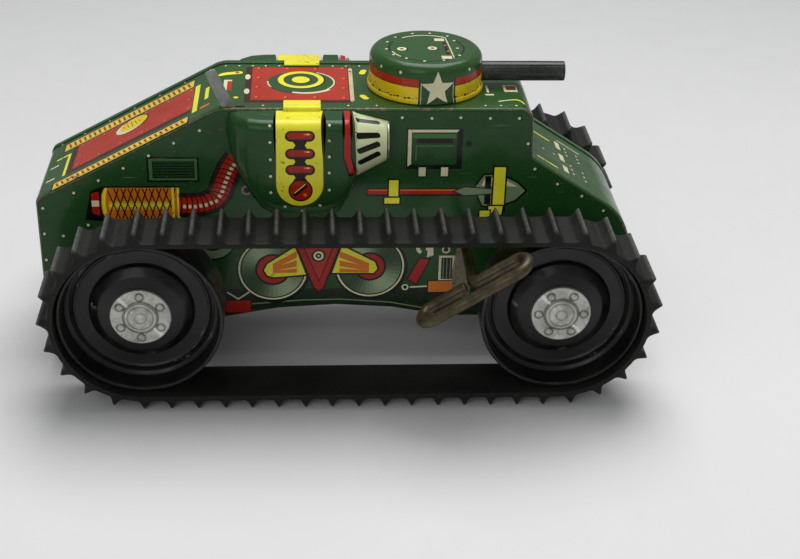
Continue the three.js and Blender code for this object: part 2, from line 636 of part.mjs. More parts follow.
function buildKey() {
  place("key_shaft", barY(2, KEY.x, KEY.z, KEY_START_Y + GAP, -24), MATERIAL.agedBrass);
  place("key_wings", keyWings(), MATERIAL.agedBrass);
}

// ---- Turret ----
function turretCan() {
  const base = DECK_HEIGHT + TURRET_LIFT;
  const crown = TURRET_TOP - 4;
  const wall = TURRET_RADIUS - 1.5;
  const outside = [0, 30, 60, 90].map((degrees) => {
    const a = THREE.MathUtils.degToRad(degrees);
    return [wall - 4 + 4 * Math.cos(a), crown + 4 * Math.sin(a)];
  });
  const can = turnedZ([
    [TURRET_RADIUS - TIN, base], [TURRET_RADIUS, base], [TURRET_RADIUS, base + 1.6], [wall + 0.6, base + 2.6],
    ...outside, [0, TURRET_TOP + 0.3], [0, TURRET_TOP - 0.6], [wall - 4, TURRET_TOP - TIN],
    [wall - TIN, crown - 0.4], [wall - TIN, base + 2.6],
  ], 40);
  const port = new THREE.CylinderGeometry(GUN_RADIUS + GAP, GUN_RADIUS + GAP, 10, SMALL_ROUND);
  port.rotateZ(Math.PI / 2).translate(TURRET_RADIUS, 0, GUN_HEIGHT);
  const notch = block(
    TURRET_RADIUS - 5, TURRET_RADIUS + 5, -GUN_RADIUS - GAP, GUN_RADIUS + GAP, base - 1, GUN_HEIGHT,
  );
  return cut(can, port, notch).translate(TURRET_X, 0, 0);
}

function gunBarrel() {
  const start = TURRET_X + TURRET_RADIUS - 2;
  const profile = [
    [0, start], [GUN_RADIUS, start], [GUN_RADIUS, GUN_MUZZLE_X], [3.2, GUN_MUZZLE_X], [3.2, start + 4], [0, start + 4],
  ];
  return turnedY(profile, 24).rotateZ(-Math.PI / 2).translate(0, 0, GUN_HEIGHT);
}

function buildTurret() {
  const floorLow = DECK_HEIGHT + TURRET_LIFT;
  const bore = EYELET_SHANK + GAP;
  const rim = TURRET_RADIUS - TIN - GAP - 1.2;
  const floor = turnedZ([[bore, floorLow], [rim, floorLow], [rim, floorLow + TIN], [bore, floorLow + TIN]]);
  place("turret_can", turretCan(), MATERIAL.greenTin);
  place("turret_floor", floor.translate(TURRET_X, 0, 0), MATERIAL.steel);
  place("gun_barrel", gunBarrel(), MATERIAL.blackTube);

  const flange = floorLow + TIN + GAP;
  const foot = DECK_HEIGHT - TIN - GAP;
  const eyelet = turnedZ([
    [1.8, foot - 1], [5.2, foot - 1], [5.2, foot], [EYELET_SHANK, foot], [EYELET_SHANK, flange],
    [5.4, flange], [5.4, flange + 0.9], [1.8, flange + 0.9],
  ], SMALL_ROUND);
  place("turret_eyelet", eyelet.translate(TURRET_X, 0, 0), MATERIAL.steel);
}

// ---- Start and stop lever ----
function leverStrip() {
  const { x, z } = LEVER_PIVOT;
  const half = 2.05;
  const up = vec(-Math.sin(LEVER_LEAN), Math.cos(LEVER_LEAN)).multiplyScalar(LEVER_LENGTH);
  const side = vec(Math.cos(LEVER_LEAN), Math.sin(LEVER_LEAN)).multiplyScalar(half);
  const outline = new THREE.Shape([
    vec(x - half, z - LEVER_ROD_DROP - 2), vec(x + half, z - LEVER_ROD_DROP - 2), vec(x + 3, z),
    vec(x + up.x + side.x, z + up.y + side.y), vec(x + up.x - side.x, z + up.y - side.y), vec(x - 3, z),
  ]);
  const pin = barY(1, x, z - LEVER_ROD_DROP, -24.1, -22, 10);
  return cut(joined(slabXZ(outline, -24.4, -23.4), pin), barY(1.8, x, z, -26, -22.8));
}

function leverBracket() {
  const { x, z } = LEVER_PIVOT;
  const under = DECK_HEIGHT - TIN - GAP;
  const ear = block(x - 5, x + 5, -21.8, -20.8, z - 4, under);
  const foot = block(x - 5, x + 5, -21.8, -14, under - 1, under);
  return joined(ear, foot, barY(1.5, x, z, -24.8, -21.4, 12));
}

// A flat rod from the lever's pin to a shoe that stands just clear of the governor's rim.
function brakeRod() {
  const z = LEVER_PIVOT.z - LEVER_ROD_DROP;
  const shoe = GOVERNOR.x - 9;
  const outline = new THREE.Shape([
    vec(LEVER_PIVOT.x - 4, z - 4), vec(LEVER_PIVOT.x + 4, z - 4), vec(LEVER_PIVOT.x + 6, z - 1.5),
    vec(shoe - 4.5, z - 1.5), vec(shoe - 4.5, GOVERNOR.z - 1), vec(shoe - 0.5, GOVERNOR.z - 1),
    vec(shoe - 0.5, z + 1.5), vec(LEVER_PIVOT.x + 6, z + 1.5), vec(LEVER_PIVOT.x + 4, z + 4),
    vec(LEVER_PIVOT.x - 4, z + 4),
  ]);
  const slot = block(LEVER_PIVOT.x - 1.4, LEVER_PIVOT.x + 1.4, -25, -21, z - 2.4, z + 2.4);
  return cut(slabXZ(outline, -23.1, -22.3), slot);
}

function buildLever() {
  place("start_stop_lever", leverStrip(), MATERIAL.steel);
  place("lever_bracket", leverBracket(), MATERIAL.steel);
  place("brake_rod", brakeRod(), MATERIAL.steel);
}

buildHull();
placeBothSides("track", track(), MATERIAL.rubber);
buildAxleSet("front", WHEELBASE / 2, 0);
buildAxleSet("rear", -WHEELBASE / 2, Math.PI / 6);
buildClockwork();
buildKey();
buildTurret();
buildLever();

// The part's origin is the centre of the whole object's footprint on the ground.
const boxLow = [Math.min(HULL_REAR, -OVERALL_LENGTH / 2), KEY_OUTER_Y - KEY_WIRE_RADIUS];
const boxHigh = [OVERALL_LENGTH / 2, TRACK_OUTER];
tank.position.set(-(boxLow[0] + boxHigh[0]) / 2, -(boxLow[1] + boxHigh[1]) / 2, 0);

const part = new THREE.Group();
part.add(tank);
export default part;
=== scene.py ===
"""The looks of a tinplate clockwork toy tank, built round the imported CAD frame.
Shapes are drawn in the toy's own millimetres: X forward, Y left, Z up, x = 0 between the axles, y = 0 on the
centre plane, z = 0 on the ground. make() moves them into the frame. Printed tin is flat artwork that is cut
into triangles of one ink each and then wrapped on its sheet. Pieces of the right side are drawn, and those
of the left side are their mirror images."""

import math

import bpy
import numpy as np
from mathutils import Matrix, Vector
from mathutils.geometry import delaunay_2d_cdt


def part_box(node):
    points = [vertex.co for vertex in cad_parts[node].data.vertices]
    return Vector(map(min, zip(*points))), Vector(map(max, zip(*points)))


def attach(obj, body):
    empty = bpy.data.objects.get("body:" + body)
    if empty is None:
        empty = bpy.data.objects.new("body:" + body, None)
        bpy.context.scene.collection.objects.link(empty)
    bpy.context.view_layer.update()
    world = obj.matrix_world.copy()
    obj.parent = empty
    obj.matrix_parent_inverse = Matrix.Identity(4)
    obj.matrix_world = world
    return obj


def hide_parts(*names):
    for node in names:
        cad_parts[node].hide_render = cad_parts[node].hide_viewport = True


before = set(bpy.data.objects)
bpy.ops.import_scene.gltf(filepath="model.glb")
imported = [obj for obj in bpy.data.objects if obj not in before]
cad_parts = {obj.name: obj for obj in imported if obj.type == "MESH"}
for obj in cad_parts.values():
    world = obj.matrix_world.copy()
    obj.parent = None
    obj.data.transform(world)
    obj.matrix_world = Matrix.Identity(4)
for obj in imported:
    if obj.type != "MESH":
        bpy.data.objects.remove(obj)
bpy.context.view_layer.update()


def middle(node):
    low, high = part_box(node)
    return (low + high) / 2


AXLES_MIDDLE = (middle("front_axle") + middle("rear_axle")) / 2
ORIGIN = np.array([AXLES_MIDDLE.x, middle("hull_top_sheet").y, 0.0])
MM = 0.001

# ---- Dimensions shared with the CAD, in millimetres ----
TIN = 0.5
HALF_WIDTH = 26.0
DECK = 111.7
HULL_REAR, HULL_FRONT, HULL_FOOT = -123.3, 113.5, 20
HULL_CORNERS = [
    (HULL_REAR, HULL_FOOT, 0), (HULL_REAR, 73.6, 3), (-52, DECK, 12), (70.5, DECK, 5.5), (71.6, 91, 2),
    (HULL_FRONT, 64, 25), (HULL_FRONT, HULL_FOOT, 0),
]
HALF_BASE = 81.5
AXLE_HEIGHT = 39.15
KEY_X, KEY_Z, KEY_ANGLE = 44.8, 59.5, math.radians(32.6)
TURRET_X, TURRET_TOP = 30.0, 127.4
TRACK_BAND = (32.4, 34.65)
TRACK_SIDES = (42.7, 65.1)
LUGS, LUG_HEIGHT = 51, 4.5


# ---- Small geometry ----
def unit(v):
    return v / np.linalg.norm(v)


def rounded_path(corners, steps=8, closed=False):
    """Straight runs between (a, b, radius) corners, each corner rounded."""
    points = []
    n = len(corners)
    for i, (a, b, r) in enumerate(corners):
        corner = np.array([a, b], float)
        if r == 0 or (not closed and i in (0, n - 1)):
            points.append(corner)
            continue
        back = unit(np.array(corners[i - 1][:2], float) - corner)
        ahead = unit(np.array(corners[(i + 1) % n][:2], float) - corner)
        half = math.acos(max(-1, min(1, float(back @ ahead)))) / 2
        centre = corner + unit(back + ahead) * r / math.sin(half)
        first = corner + back * r / math.tan(half) - centre
        last = corner + ahead * r / math.tan(half) - centre
        start = math.atan2(first[1], first[0])
        turn = math.atan2(last[1], last[0]) - start
        turn = math.atan2(math.sin(turn), math.cos(turn))
        for k in range(steps + 1):
            t = start + turn * k / steps
            points.append(centre + r * np.array([math.cos(t), math.sin(t)]))
    return np.array(points)


def offset_path(points, distance):
    """The same open path moved to its right."""
    step = np.diff(points, axis=0)
    step /= np.linalg.norm(step, axis=1)[:, None]
    before = np.vstack([step[:1], step])
    after = np.vstack([step, step[-1:]])
    along = before + after
    along /= np.linalg.norm(along, axis=1)[:, None]
    reach = distance / np.sum(along * before, axis=1)
    return points + np.stack([along[:, 1], -along[:, 0]], 1) * reach[:, None]


def lengths(points):
    return np.concatenate([[0], np.cumsum(np.linalg.norm(np.diff(points, axis=0), axis=1))])


def along(points, run, s):
    """Points at distances s along a polyline whose running lengths are run."""
    return np.stack([np.interp(s, run, points[:, k]) for k in range(points.shape[1])], -1)


def corner_ways(points):
    """A closed outline turned anticlockwise, the way into each of its corners, and the way round it."""
    p = np.array(points, float)
    if np.sum(p[:, 0] * np.roll(p[:, 1], -1) - np.roll(p[:, 0], -1) * p[:, 1]) < 0:
        p = p[::-1]
    before, after = p - np.roll(p, 1, axis=0), np.roll(p, -1, axis=0) - p
    before /= np.linalg.norm(before, axis=1)[:, None]
    after /= np.linalg.norm(after, axis=1)[:, None]
    way = before + after
    return p, before, way / np.linalg.norm(way, axis=1)[:, None]


def grown(points, distance):
    """A closed outline moved outwards by a distance."""
    p, before, way = corner_ways(points)
    reach = distance / np.maximum(np.sum(way * before, axis=1), 0.45)
    return p + np.stack([way[:, 1], -way[:, 0]], 1) * reach[:, None]


def arc(cx, cy, r, start, end, steps=12):
    """Points on a circle, from start to end degrees."""
    t = np.radians(np.linspace(start, end, steps + 1))
    return [(cx + r * math.cos(a), cy + r * math.sin(a)) for a in t]


# ---- Objects ----
MATERIALS = {}


def make(name, points, faces, body, materials, stands_for=(), mirror=False, inks=None, crest=None,
         picks=None, sharp=38):
    """A piece from points in toy millimetres. inks is one colour a face, crest one number a point."""
    p = np.array(points, float)
    if mirror:
        p[:, 1] *= -1
        faces = [f[::-1] for f in faces]
    mesh = bpy.data.meshes.new(name)
    mesh.from_pydata((p * MM + ORIGIN).tolist(), [], [list(map(int, f)) for f in faces])
    for m in materials:
        mesh.materials.append(MATERIALS[m])
    if picks is not None:
        mesh.polygons.foreach_set("material_index", np.array(picks, np.int32))
    mesh.polygons.foreach_set("use_smooth", np.ones(len(faces), bool))
    if inks is not None:
        layer = mesh.color_attributes.new("ink", "FLOAT_COLOR", "CORNER")
        sizes = [len(f) for f in faces]
        layer.data.foreach_set("color", np.repeat(np.array(inks, np.float32), sizes, axis=0).ravel())
    if crest is not None:
        layer = mesh.attributes.new("crest", "FLOAT", "POINT")
        layer.data.foreach_set("value", np.array(crest, np.float32))
    mesh.update()
    mesh.set_sharp_from_angle(angle=math.radians(sharp))
    obj = bpy.data.objects.new(name, mesh)
    bpy.context.scene.collection.objects.link(obj)
    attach(obj, body)
    if stands_for:
        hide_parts(*stands_for)
    return obj


INNER_INK, RIM_INK = (0.2, 0.19, 0.15, 0.3), (0.3, 0.28, 0.2, 1.0)


def thicken(points, faces, inks, thickness):
    """A closed sheet: the given skin, the same skin moved inwards, and a rim.
    Returns its points, faces and inks, and each face's pick of material."""
    p = np.array(points, float)
    normal = np.zeros_like(p)
    for f in faces:
        a, b, c = p[f[0]], p[f[1]], p[f[-1]]
        n = np.cross(b - a, c - a)
        for i in f:
            normal[i] += n
    size = np.linalg.norm(normal, axis=1)
    normal /= np.where(size > 0, size, 1)[:, None]
    count = len(p)
    edges = dict.fromkeys((i, j) for f in faces for i, j in zip(f, [*f[1:], f[0]]))
    rim = [(i, j) for i, j in edges if (j, i) not in edges]
    everything = np.vstack([p, p - normal * thickness])
    back = [[i + count for i in f[::-1]] for f in faces]
    sides = [[j, i, i + count, j + count] for i, j in rim]
    picks = [0] * len(faces) + [1] * (len(back) + len(sides))
    inks = [*inks, *[INNER_INK] * len(back), *[RIM_INK] * len(sides)]
    return everything, [*faces, *back, *sides], inks, picks


def outward(p, faces):
    """The faces of a closed skin, all turned over if they look inwards."""
    volume = 0.0
    for f in faces:
        for k in range(1, len(f) - 1):
            volume += float(np.dot(p[f[0]], np.cross(p[f[k]], p[f[k + 1]])))
    return [f[::-1] for f in faces] if volume < 0 else faces


def looking(p, faces, way):
    """The faces of an open skin, all turned over if they look away from a direction."""
    total = sum(np.cross(p[f[1]] - p[f[0]], p[f[2]] - p[f[0]]) @ np.array(way) for f in faces)
    return [f[::-1] for f in faces] if total < 0 else faces


def turns(count, offset=0.0):
    """Equal steps round a full circle, in radians."""
    return [offset + 2 * math.pi * k / count for k in range(count)]


def ring_skin(loops):
    """A closed skin over a ring of equal loops of points, the last joined to the first."""
    rows, count = len(loops), len(loops[0])
    p = np.array([q for loop in loops for q in loop], float)
    faces = []
    for i in range(rows):
        one, two = i * count, (i + 1) % rows * count
        for k in range(count):
            m = (k + 1) % count
            faces.append([one + k, one + m, two + m, two + k])
    return p, outward(p, faces)


def lathe(profile, segments):
    """A closed [radius, height] profile turned about Y: radius in XZ, height along Y."""
    return ring_skin([[(r * math.cos(a), h, r * math.sin(a)) for a in turns(segments)] for r, h in profile])


def loft(loops):
    """A closed skin over a row of equal loops of points, with a flat face at each end."""
    count = len(loops[0])
    p = np.array([q for loop in loops for q in loop], float)
    faces = []
    for i in range(len(loops) - 1):
        for j in range(count):
            a, b = i * count + j, i * count + (j + 1) % count
            faces.append([a, b, b + count, a + count])
    faces.append(list(range(count))[::-1])
    faces.append([(len(loops) - 1) * count + j for j in range(count)])
    return p, outward(p, faces)


def build_tin(name, skin, stands_for=(), mirror=False, body="chassis", way=None):
    """A printed sheet from the points, faces and inks of its outer side, which looks along way."""
    points, faces, inks = skin
    if way:
        faces = looking(points, faces, way)
    points, faces, inks, picks = thicken(points, faces, inks, TIN)
    make(name, points, faces, body, ["printed_tin", "inner_tin"], stands_for, mirror, inks,
         picks=picks)


# ---- Inks, as linear colours with how easily each wears through ----
INK = {
    "green": (0.028, 0.096, 0.020, 0.35),
    "side green": (0.014, 0.076, 0.014, 0.3),
    "light green": (0.075, 0.20, 0.06, 0.3),
    "grey green": (0.22, 0.31, 0.16, 0.4),
    "black green": (0.006, 0.020, 0.006, 0.3),
    "black": (0.003, 0.004, 0.003, 0.2),
    "shade": (0.05, 0.008, 0.004, 0.2),
    "red": (0.52, 0.030, 0.008, 0.25),
    "deep red": (0.48, 0.012, 0.004, 0.25),
    "orange": (0.85, 0.22, 0.012, 0.25),
    "yellow": (1.0, 0.93, 0.04, 0.35),
    "turret yellow": (0.95, 0.68, 0.01, 0.35),
    "cream": (0.86, 0.82, 0.52, 0.4),
    "rail yellow": (0.88, 0.70, 0.06, 0.4),
    "cone": (0.70, 0.76, 0.44, 0.3),
    "glow": (0.98, 0.50, 0.03, 0.25),
    "old cream": (0.72, 0.62, 0.36, 0.6),
    "brown": (0.20, 0.060, 0.010, 0.3),
    "tin": (0.26, 0.23, 0.15, 1.0),
    "edge": (0.034, 0.115, 0.026, 1.0),
}


class Print:
    """Flat artwork: an outline of ground ink with shapes laid over it in order. Ink None cuts a hole."""

    def __init__(self, outline, ground):
        self.shapes = [(outline, ground)]
        self.folds = []
        self.dots = []

    def fill(self, ink, points):
        self.shapes.append(([tuple(map(float, p)) for p in points], ink))

    def box(self, ink, x0, x1, y0, y1):
        self.fill(ink, [(x0, y0), (x1, y0), (x1, y1), (x0, y1)])

    def disc(self, ink, x, y, rx, ry=None, steps=None):
        ry = ry or rx
        steps = steps or max(12, int(8 + 8 * max(rx, ry) ** 0.5))
        self.fill(ink, [(x + rx * math.cos(a), y + ry * math.sin(a)) for a in turns(steps)])

    def patches(self, f):
        """A way to fill rectangles that are drawn through f."""
        return lambda ink, *box: self.fill(ink, quad(f, *box))

    def ring(self, ink, inside, x, y, outer, inner):
        self.disc(ink, x, y, outer)
        self.disc(inside, x, y, inner)

    def line(self, ink, points, width):
        p = np.array(points, float)
        left, right = offset_path(p, -width / 2), offset_path(p, width / 2)
        self.fill(ink, [*right, *left[::-1]])

    def capsule(self, ink, a, b, width):
        a, b = np.array(a, float), np.array(b, float)
        heading = math.degrees(math.atan2(*(b - a)[::-1]))
        far = arc(*b, width / 2, heading - 90, heading + 90)
        self.fill(ink, far + arc(*a, width / 2, heading + 90, heading + 270))

    def outlined(self, ink, points, width=0.7, edge="black"):
        """A filled shape with a thin line round it."""
        self.fill(edge, grown(points, width))
        self.fill(ink, points)

    def rivets(self, ink, places, radius=0.55):
        for x, y in places:
            self.disc("black", x + 0.25, y - 0.25, radius * 1.35, steps=12)
            self.disc(ink, x, y, radius, steps=12)

    def mesh(self, lift):
        """Triangles of one ink each, wrapped on the sheet by lift, which takes and gives arrays."""
        points, faces, edges = [], [], []
        for shape, _ in self.shapes:
            area = sum(a[0] * b[1] - b[0] * a[1] for a, b in zip(shape, [*shape[1:], shape[0]]))
            loop = shape if area > 0 else shape[::-1]
            faces.append(list(range(len(points), len(points) + len(loop))))
            points += loop
        for fold in self.folds:
            edges += [(len(points) + k, len(points) + k + 1) for k in range(len(fold) - 1)]
            points += fold
        points += self.dots
        flat, _, triangles, _, _, owners = delaunay_2d_cdt(
            [Vector((float(a), float(b))) for a, b in points], edges, faces, 1, 1e-4, True
        )
        kept, inks = [], []
        for triangle, owner in zip(triangles, owners):
            if 0 not in owner or any(self.shapes[k][1] is None for k in owner):
                continue
            kept.append(list(triangle))
            ink = self.shapes[max(owner)][1]
            inks.append(INK.get(ink, ink))
        used = sorted({i for t in kept for i in t})
        index = {v: k for k, v in enumerate(used)}
        flat = np.array([flat[i] for i in used], float)
        return lift(flat), [[index[i] for i in t] for t in kept], inks


# ---- Materials ----
class Recipe:
    """A Principled material and the few nodes that its detail needs."""

    def __init__(self, name, **sockets):
        self.material = bpy.data.materials.new(name)
        self.material.use_nodes = True
        self.tree = self.material.node_tree
        self.shader = self.tree.nodes["Principled BSDF"]
        for socket, value in sockets.items():
            self.shader.inputs[socket.replace("_", " ")].default_value = value
        self.place = self.node("ShaderNodeTexCoord").outputs["Object"]
        MATERIALS[name] = self.material

    def node(self, kind, inputs=None, **settings):
        made = self.tree.nodes.new(kind)
        for key, value in settings.items():
            setattr(made, key, value)
        for key, value in (inputs or {}).items():
            self.put(made.inputs[key], value)
        return made

    def put(self, socket, value):
        if isinstance(value, bpy.types.NodeSocket):
            self.tree.links.new(value, socket)
        else:
            socket.default_value = value

    def noise(self, scale, detail=3.0, rough=0.5, stretch=None):
        vector = self.place
        if stretch:
            vector = self.node("ShaderNodeMapping", {"Vector": self.place, "Scale": stretch}).outputs[0]
        inputs = {"Vector": vector, "Scale": scale, "Detail": detail, "Roughness": rough}
        return self.node("ShaderNodeTexNoise", inputs).outputs[0]

    def range(self, value, low, high, to_low=0.0, to_high=1.0):
        inputs = {"Value": value, "From Min": low, "From Max": high, "To Min": to_low, "To Max": to_high}
        return self.node("ShaderNodeMapRange", inputs, clamp=True).outputs[0]

    def calc(self, operation, a, b):
        return self.node("ShaderNodeMath", {0: a, 1: b}, operation=operation).outputs[0]

    def mix(self, amount, a, b, blend="MIX"):
        made = self.node("ShaderNodeMix", data_type="RGBA", blend_type=blend)
        self.put(made.inputs["Factor"], amount)
        self.put(made.inputs[6], a)
        self.put(made.inputs[7], b)
        return made.outputs[2]

    def bump(self, *layers):
        """Heights with their depths in millimetres, one over another."""
        normal = None
        for height, depth in layers:
            inputs = {"Height": height, "Strength": 1.0, "Distance": depth * MM}
            made = self.node("ShaderNodeBump", inputs)
            if normal is not None:
                self.put(made.inputs["Normal"], normal)
            normal = made.outputs[0]
        self.put(self.shader.inputs["Normal"], normal)

    def set(self, **sockets):
        for socket, value in sockets.items():
            self.put(self.shader.inputs[socket.replace("_", " ")], value)

    def worn_edges(self, low=0.52, high=0.6):
        point = self.node("ShaderNodeNewGeometry").outputs["Pointiness"]
        return self.range(point, low, high)


def printed_tin():
    """Lithographed tin: ink from the mesh, a varnish, grime, fine scratches, chips down to tin, and dents."""
    r = Recipe("printed_tin", Specular_IOR_Level=0.22, Coat_Weight=0.22, Coat_Roughness=0.09, Coat_IOR=1.4)
    ink = r.node("ShaderNodeAttribute", attribute_name="ink")
    wear = ink.outputs["Alpha"]
    blotch = r.noise(38, 5, 0.6)
    grime = r.range(r.noise(140, 6, 0.65), 0.38, 0.7)
    colour = r.mix(r.range(blotch, 0.4, 0.7, 0.0, 0.22), ink.outputs["Color"], (0.16, 0.15, 0.1, 1), "MULTIPLY")
    colour = r.mix(r.range(grime, 0, 1, 0.0, 0.14), colour, (0.018, 0.02, 0.014, 1))
    speckle = r.range(r.noise(1500, 2, 0.5), 0.62, 0.72)
    colour = r.mix(r.calc("MULTIPLY", speckle, 0.10), colour, (0.24, 0.25, 0.2, 1))
    one = r.range(r.noise(60, 4, 0.6, (1, 22, 22)), 0.685, 0.70)
    two = r.range(r.noise(60, 4, 0.6, (20, 1.4, 20)), 0.69, 0.705)
    scratch = r.calc("MULTIPLY", r.calc("MAXIMUM", one, two), r.range(r.noise(24, 2), 0.45, 0.6))
    chance = r.calc("ADD", r.noise(420, 6, 0.7), r.calc("MULTIPLY", wear, 0.2))
    chance = r.calc("ADD", chance, r.range(r.noise(30, 3), 0.3, 0.75, -0.08, 0.08))
    chip = r.range(chance, 0.735, 0.755)
    halo = r.range(chance, 0.70, 0.74)
    rust = r.mix(r.noise(900, 3), (0.09, 0.045, 0.02, 1), (0.26, 0.22, 0.15, 1))
    colour = r.mix(r.calc("MULTIPLY", halo, 0.6), colour, (0.04, 0.035, 0.02, 1))
    colour = r.mix(chip, colour, rust)
    colour = r.mix(r.calc("MULTIPLY", scratch, 0.55), colour, (0.3, 0.3, 0.22, 1))
    rough = r.calc("ADD", r.range(blotch, 0.3, 0.7, 0.17, 0.32), r.calc("MULTIPLY", chip, 0.2))
    rough = r.calc("ADD", rough, r.calc("MULTIPLY", grime, 0.12))
    r.set(Base_Color=colour, Roughness=rough, Metallic=r.calc("MULTIPLY", chip, 0.6))
    depth = r.calc("MULTIPLY", r.calc("MAXIMUM", chip, scratch), -1.0)
    dents, ripples, peel = r.noise(26, 2, 0.4), r.noise(95, 3, 0.5), r.noise(900, 3, 0.6)
    r.bump((dents, 1.1), (ripples, 0.14), (peel, 0.012), (depth, 0.03))


def metal(name, colour, stain, rough=(0.28, 0.5), metallic=0.95, grain=None, dirt_and_shade=0.45, depth=0.03, scale=160):
    """Bare or plated metal with stains, a scratched or brushed grain, darker grime, and painted shade in the
    creases that the crest attribute marks.
    """
    r = Recipe(name, Metallic=metallic)
    cloud = r.noise(scale, 6, 0.62)
    fine = r.noise(scale * 6, 4, 0.6, grain)
    base = r.mix(r.range(cloud, 0.36, 0.66), colour, stain)
    base = r.mix(r.range(r.noise(scale * 2.2, 7, 0.7), 0.52, 0.72, 0, dirt_and_shade), base, (0.02, 0.017, 0.012, 1))
    # painted shade: the crest attribute darkens the creases of pressed pieces such as the hub caps
    crease_shade = r.node("ShaderNodeAttribute", attribute_name="crest").outputs["Fac"]
    base = r.mix(r.calc("MULTIPLY", crease_shade, 0.8), base, (0.03, 0.028, 0.022, 1))
    base = r.mix(r.calc("MULTIPLY", r.worn_edges(), 0.5), base, [min(1, c * 1.6) for c in colour[:3]] + [1])
    broad, grained = r.range(cloud, 0.3, 0.7, *rough), r.range(fine, 0.3, 0.7, -0.06, 0.08)
    r.set(Base_Color=base, Roughness=r.calc("ADD", broad, grained))
    r.bump((cloud, depth * 2), (fine, depth))


def enamel(name, colour, dust, gloss=(0.3, 0.55), dusty=0.5, depth=0.03):
    """Dark baked enamel with dust lying in it and metal showing on the corners."""
    r = Recipe(name, Specular_IOR_Level=0.25, Coat_Weight=0.25, Coat_Roughness=0.18)
    cloud = r.noise(110, 6, 0.65)
    fine = r.noise(1300, 4, 0.6)
    lying = r.calc("MULTIPLY", r.range(cloud, 0.38, 0.66), r.range(fine, 0.3, 0.62))
    base = r.mix(r.calc("MULTIPLY", lying, dusty), colour, dust)
    chips = r.calc("MULTIPLY", r.worn_edges(0.51, 0.56), r.range(r.noise(700, 5, 0.7), 0.46, 0.56))
    base = r.mix(r.calc("MULTIPLY", chips, 0.7), base, (0.17, 0.16, 0.14, 1))
    rough = r.calc("ADD", r.range(cloud, 0.35, 0.65, *gloss), r.calc("MULTIPLY", lying, 0.2))
    r.set(Base_Color=base, Roughness=rough)
    r.bump((cloud, depth * 2), (fine, depth * 0.5))


def rubber():
    """Old black rubber: chalky bloom, dust in the hollows, crests paler from wear and from a painted highlight,
    and moulding marks.
    """
    r = Recipe("old_rubber", Specular_IOR_Level=0.22)
    crest = r.node("ShaderNodeAttribute", attribute_name="crest").outputs["Fac"]
    cloud = r.noise(75, 6, 0.65)
    fine = r.noise(1100, 5, 0.65)
    base = r.mix(r.range(cloud, 0.35, 0.68), (0.006, 0.007, 0.0055, 1), (0.017, 0.019, 0.015, 1))
    base = r.mix(r.range(fine, 0.5, 0.75, 0, 0.35), base, (0.042, 0.044, 0.037, 1))
    # wear and painted highlight: the lugs' crests, marked by the crest attribute, are lightened towards pale
    # grey
    wear_and_highlight = r.calc("MULTIPLY", r.range(crest, 0.62, 0.98), r.range(r.noise(520, 4, 0.6), 0.3, 0.6, 0.35, 1.0))
    base = r.mix(r.calc("MULTIPLY", wear_and_highlight, 0.8), base, (0.15, 0.15, 0.135, 1))
    r.set(Base_Color=base, Roughness=r.range(cloud, 0.3, 0.7, 0.55, 0.82))
    r.bump((cloud, 0.18), (r.noise(420, 4, 0.6), 0.07), (fine, 0.02))


def paper_floor():
    r = Recipe("pale_floor")
    cloud = r.noise(3.5, 4, 0.55)
    depth = r.node("ShaderNodeSeparateXYZ", {0: r.place}).outputs["Y"]
    base = r.mix(r.range(cloud, 0.3, 0.7), (0.77, 0.77, 0.76, 1), (0.80, 0.80, 0.79, 1))
    # painted shade: the floor darkens towards the back, standing in for the light falling off
    base = r.mix(r.range(depth, -0.05, 0.6), base, (0.53, 0.53, 0.53, 1))
    r.set(Base_Color=base, Roughness=r.range(r.noise(60, 4), 0.3, 0.7, 0.55, 0.7))
    r.bump((r.noise(600, 4), 0.02))


printed_tin()
rubber()
paper_floor()
metal("inner_tin", (0.42, 0.39, 0.31, 1), (0.2, 0.17, 0.11, 1), (0.3, 0.55), depth=0.02)
enamel("wheel_enamel", (0.003, 0.004, 0.003, 1), (0.028, 0.03, 0.022, 1), (0.26, 0.5), 0.45)
enamel("gun_enamel", (0.02, 0.023, 0.02, 1), (0.12, 0.125, 0.11, 1), (0.2, 0.36), 0.4)
metal("dull_plate", (0.62, 0.61, 0.57, 1), (0.36, 0.35, 0.31, 1), (0.34, 0.56), 0.6, dirt_and_shade=0.5)
metal("steel", (0.42, 0.42, 0.41, 1), (0.22, 0.19, 0.15, 1), (0.25, 0.5), grain=(1, 9, 1))
metal("lever_steel", (0.3, 0.31, 0.285, 1), (0.17, 0.175, 0.15, 1), (0.36, 0.58), 0.4, dirt_and_shade=0.3)
metal("blued_spring", (0.075, 0.095, 0.15, 1), (0.03, 0.03, 0.04, 1), (0.2, 0.4), grain=(1, 12, 1))
metal("gear_brass", (0.55, 0.38, 0.13, 1), (0.3, 0.2, 0.08, 1), (0.26, 0.48), grain=(9, 1, 9))
metal("key_brass", (0.10, 0.075, 0.034, 1), (0.032, 0.024, 0.012, 1), (0.3, 0.5), 0.45, dirt_and_shade=0.6)

# ---- Hull line ----
HULL = rounded_path(HULL_CORNERS, 10)
HULL_RUN = lengths(HULL)


def hull_s(x, z):
    """Distance along the hull line of its point nearest to (x, z)."""
    a, b = HULL[:-1], HULL[1:]
    d = b - a
    t = np.clip(np.sum((np.array([x, z]) - a) * d, 1) / np.sum(d * d, 1), 0, 1)
    gap = np.linalg.norm(a + d * t[:, None] - np.array([x, z]), axis=1)
    k = int(np.argmin(gap))
    return float(HULL_RUN[k] + t[k] * np.linalg.norm(d[k]))


RAMP_TOP, RAMP_END = np.array([-52, DECK]), np.array([-123.3, 73.6])
RAMP_WAY = unit(RAMP_END - RAMP_TOP)
GLACIS_TOP, GLACIS_END = np.array([71.6, 91]), np.array([113.5, 64])
GLACIS_WAY = unit(GLACIS_END - GLACIS_TOP)


def on_deck(x, y):
    return (hull_s(x, DECK), y)


def on_ramp(u, y):
    return (hull_s(*(RAMP_TOP + RAMP_WAY * u)), y)


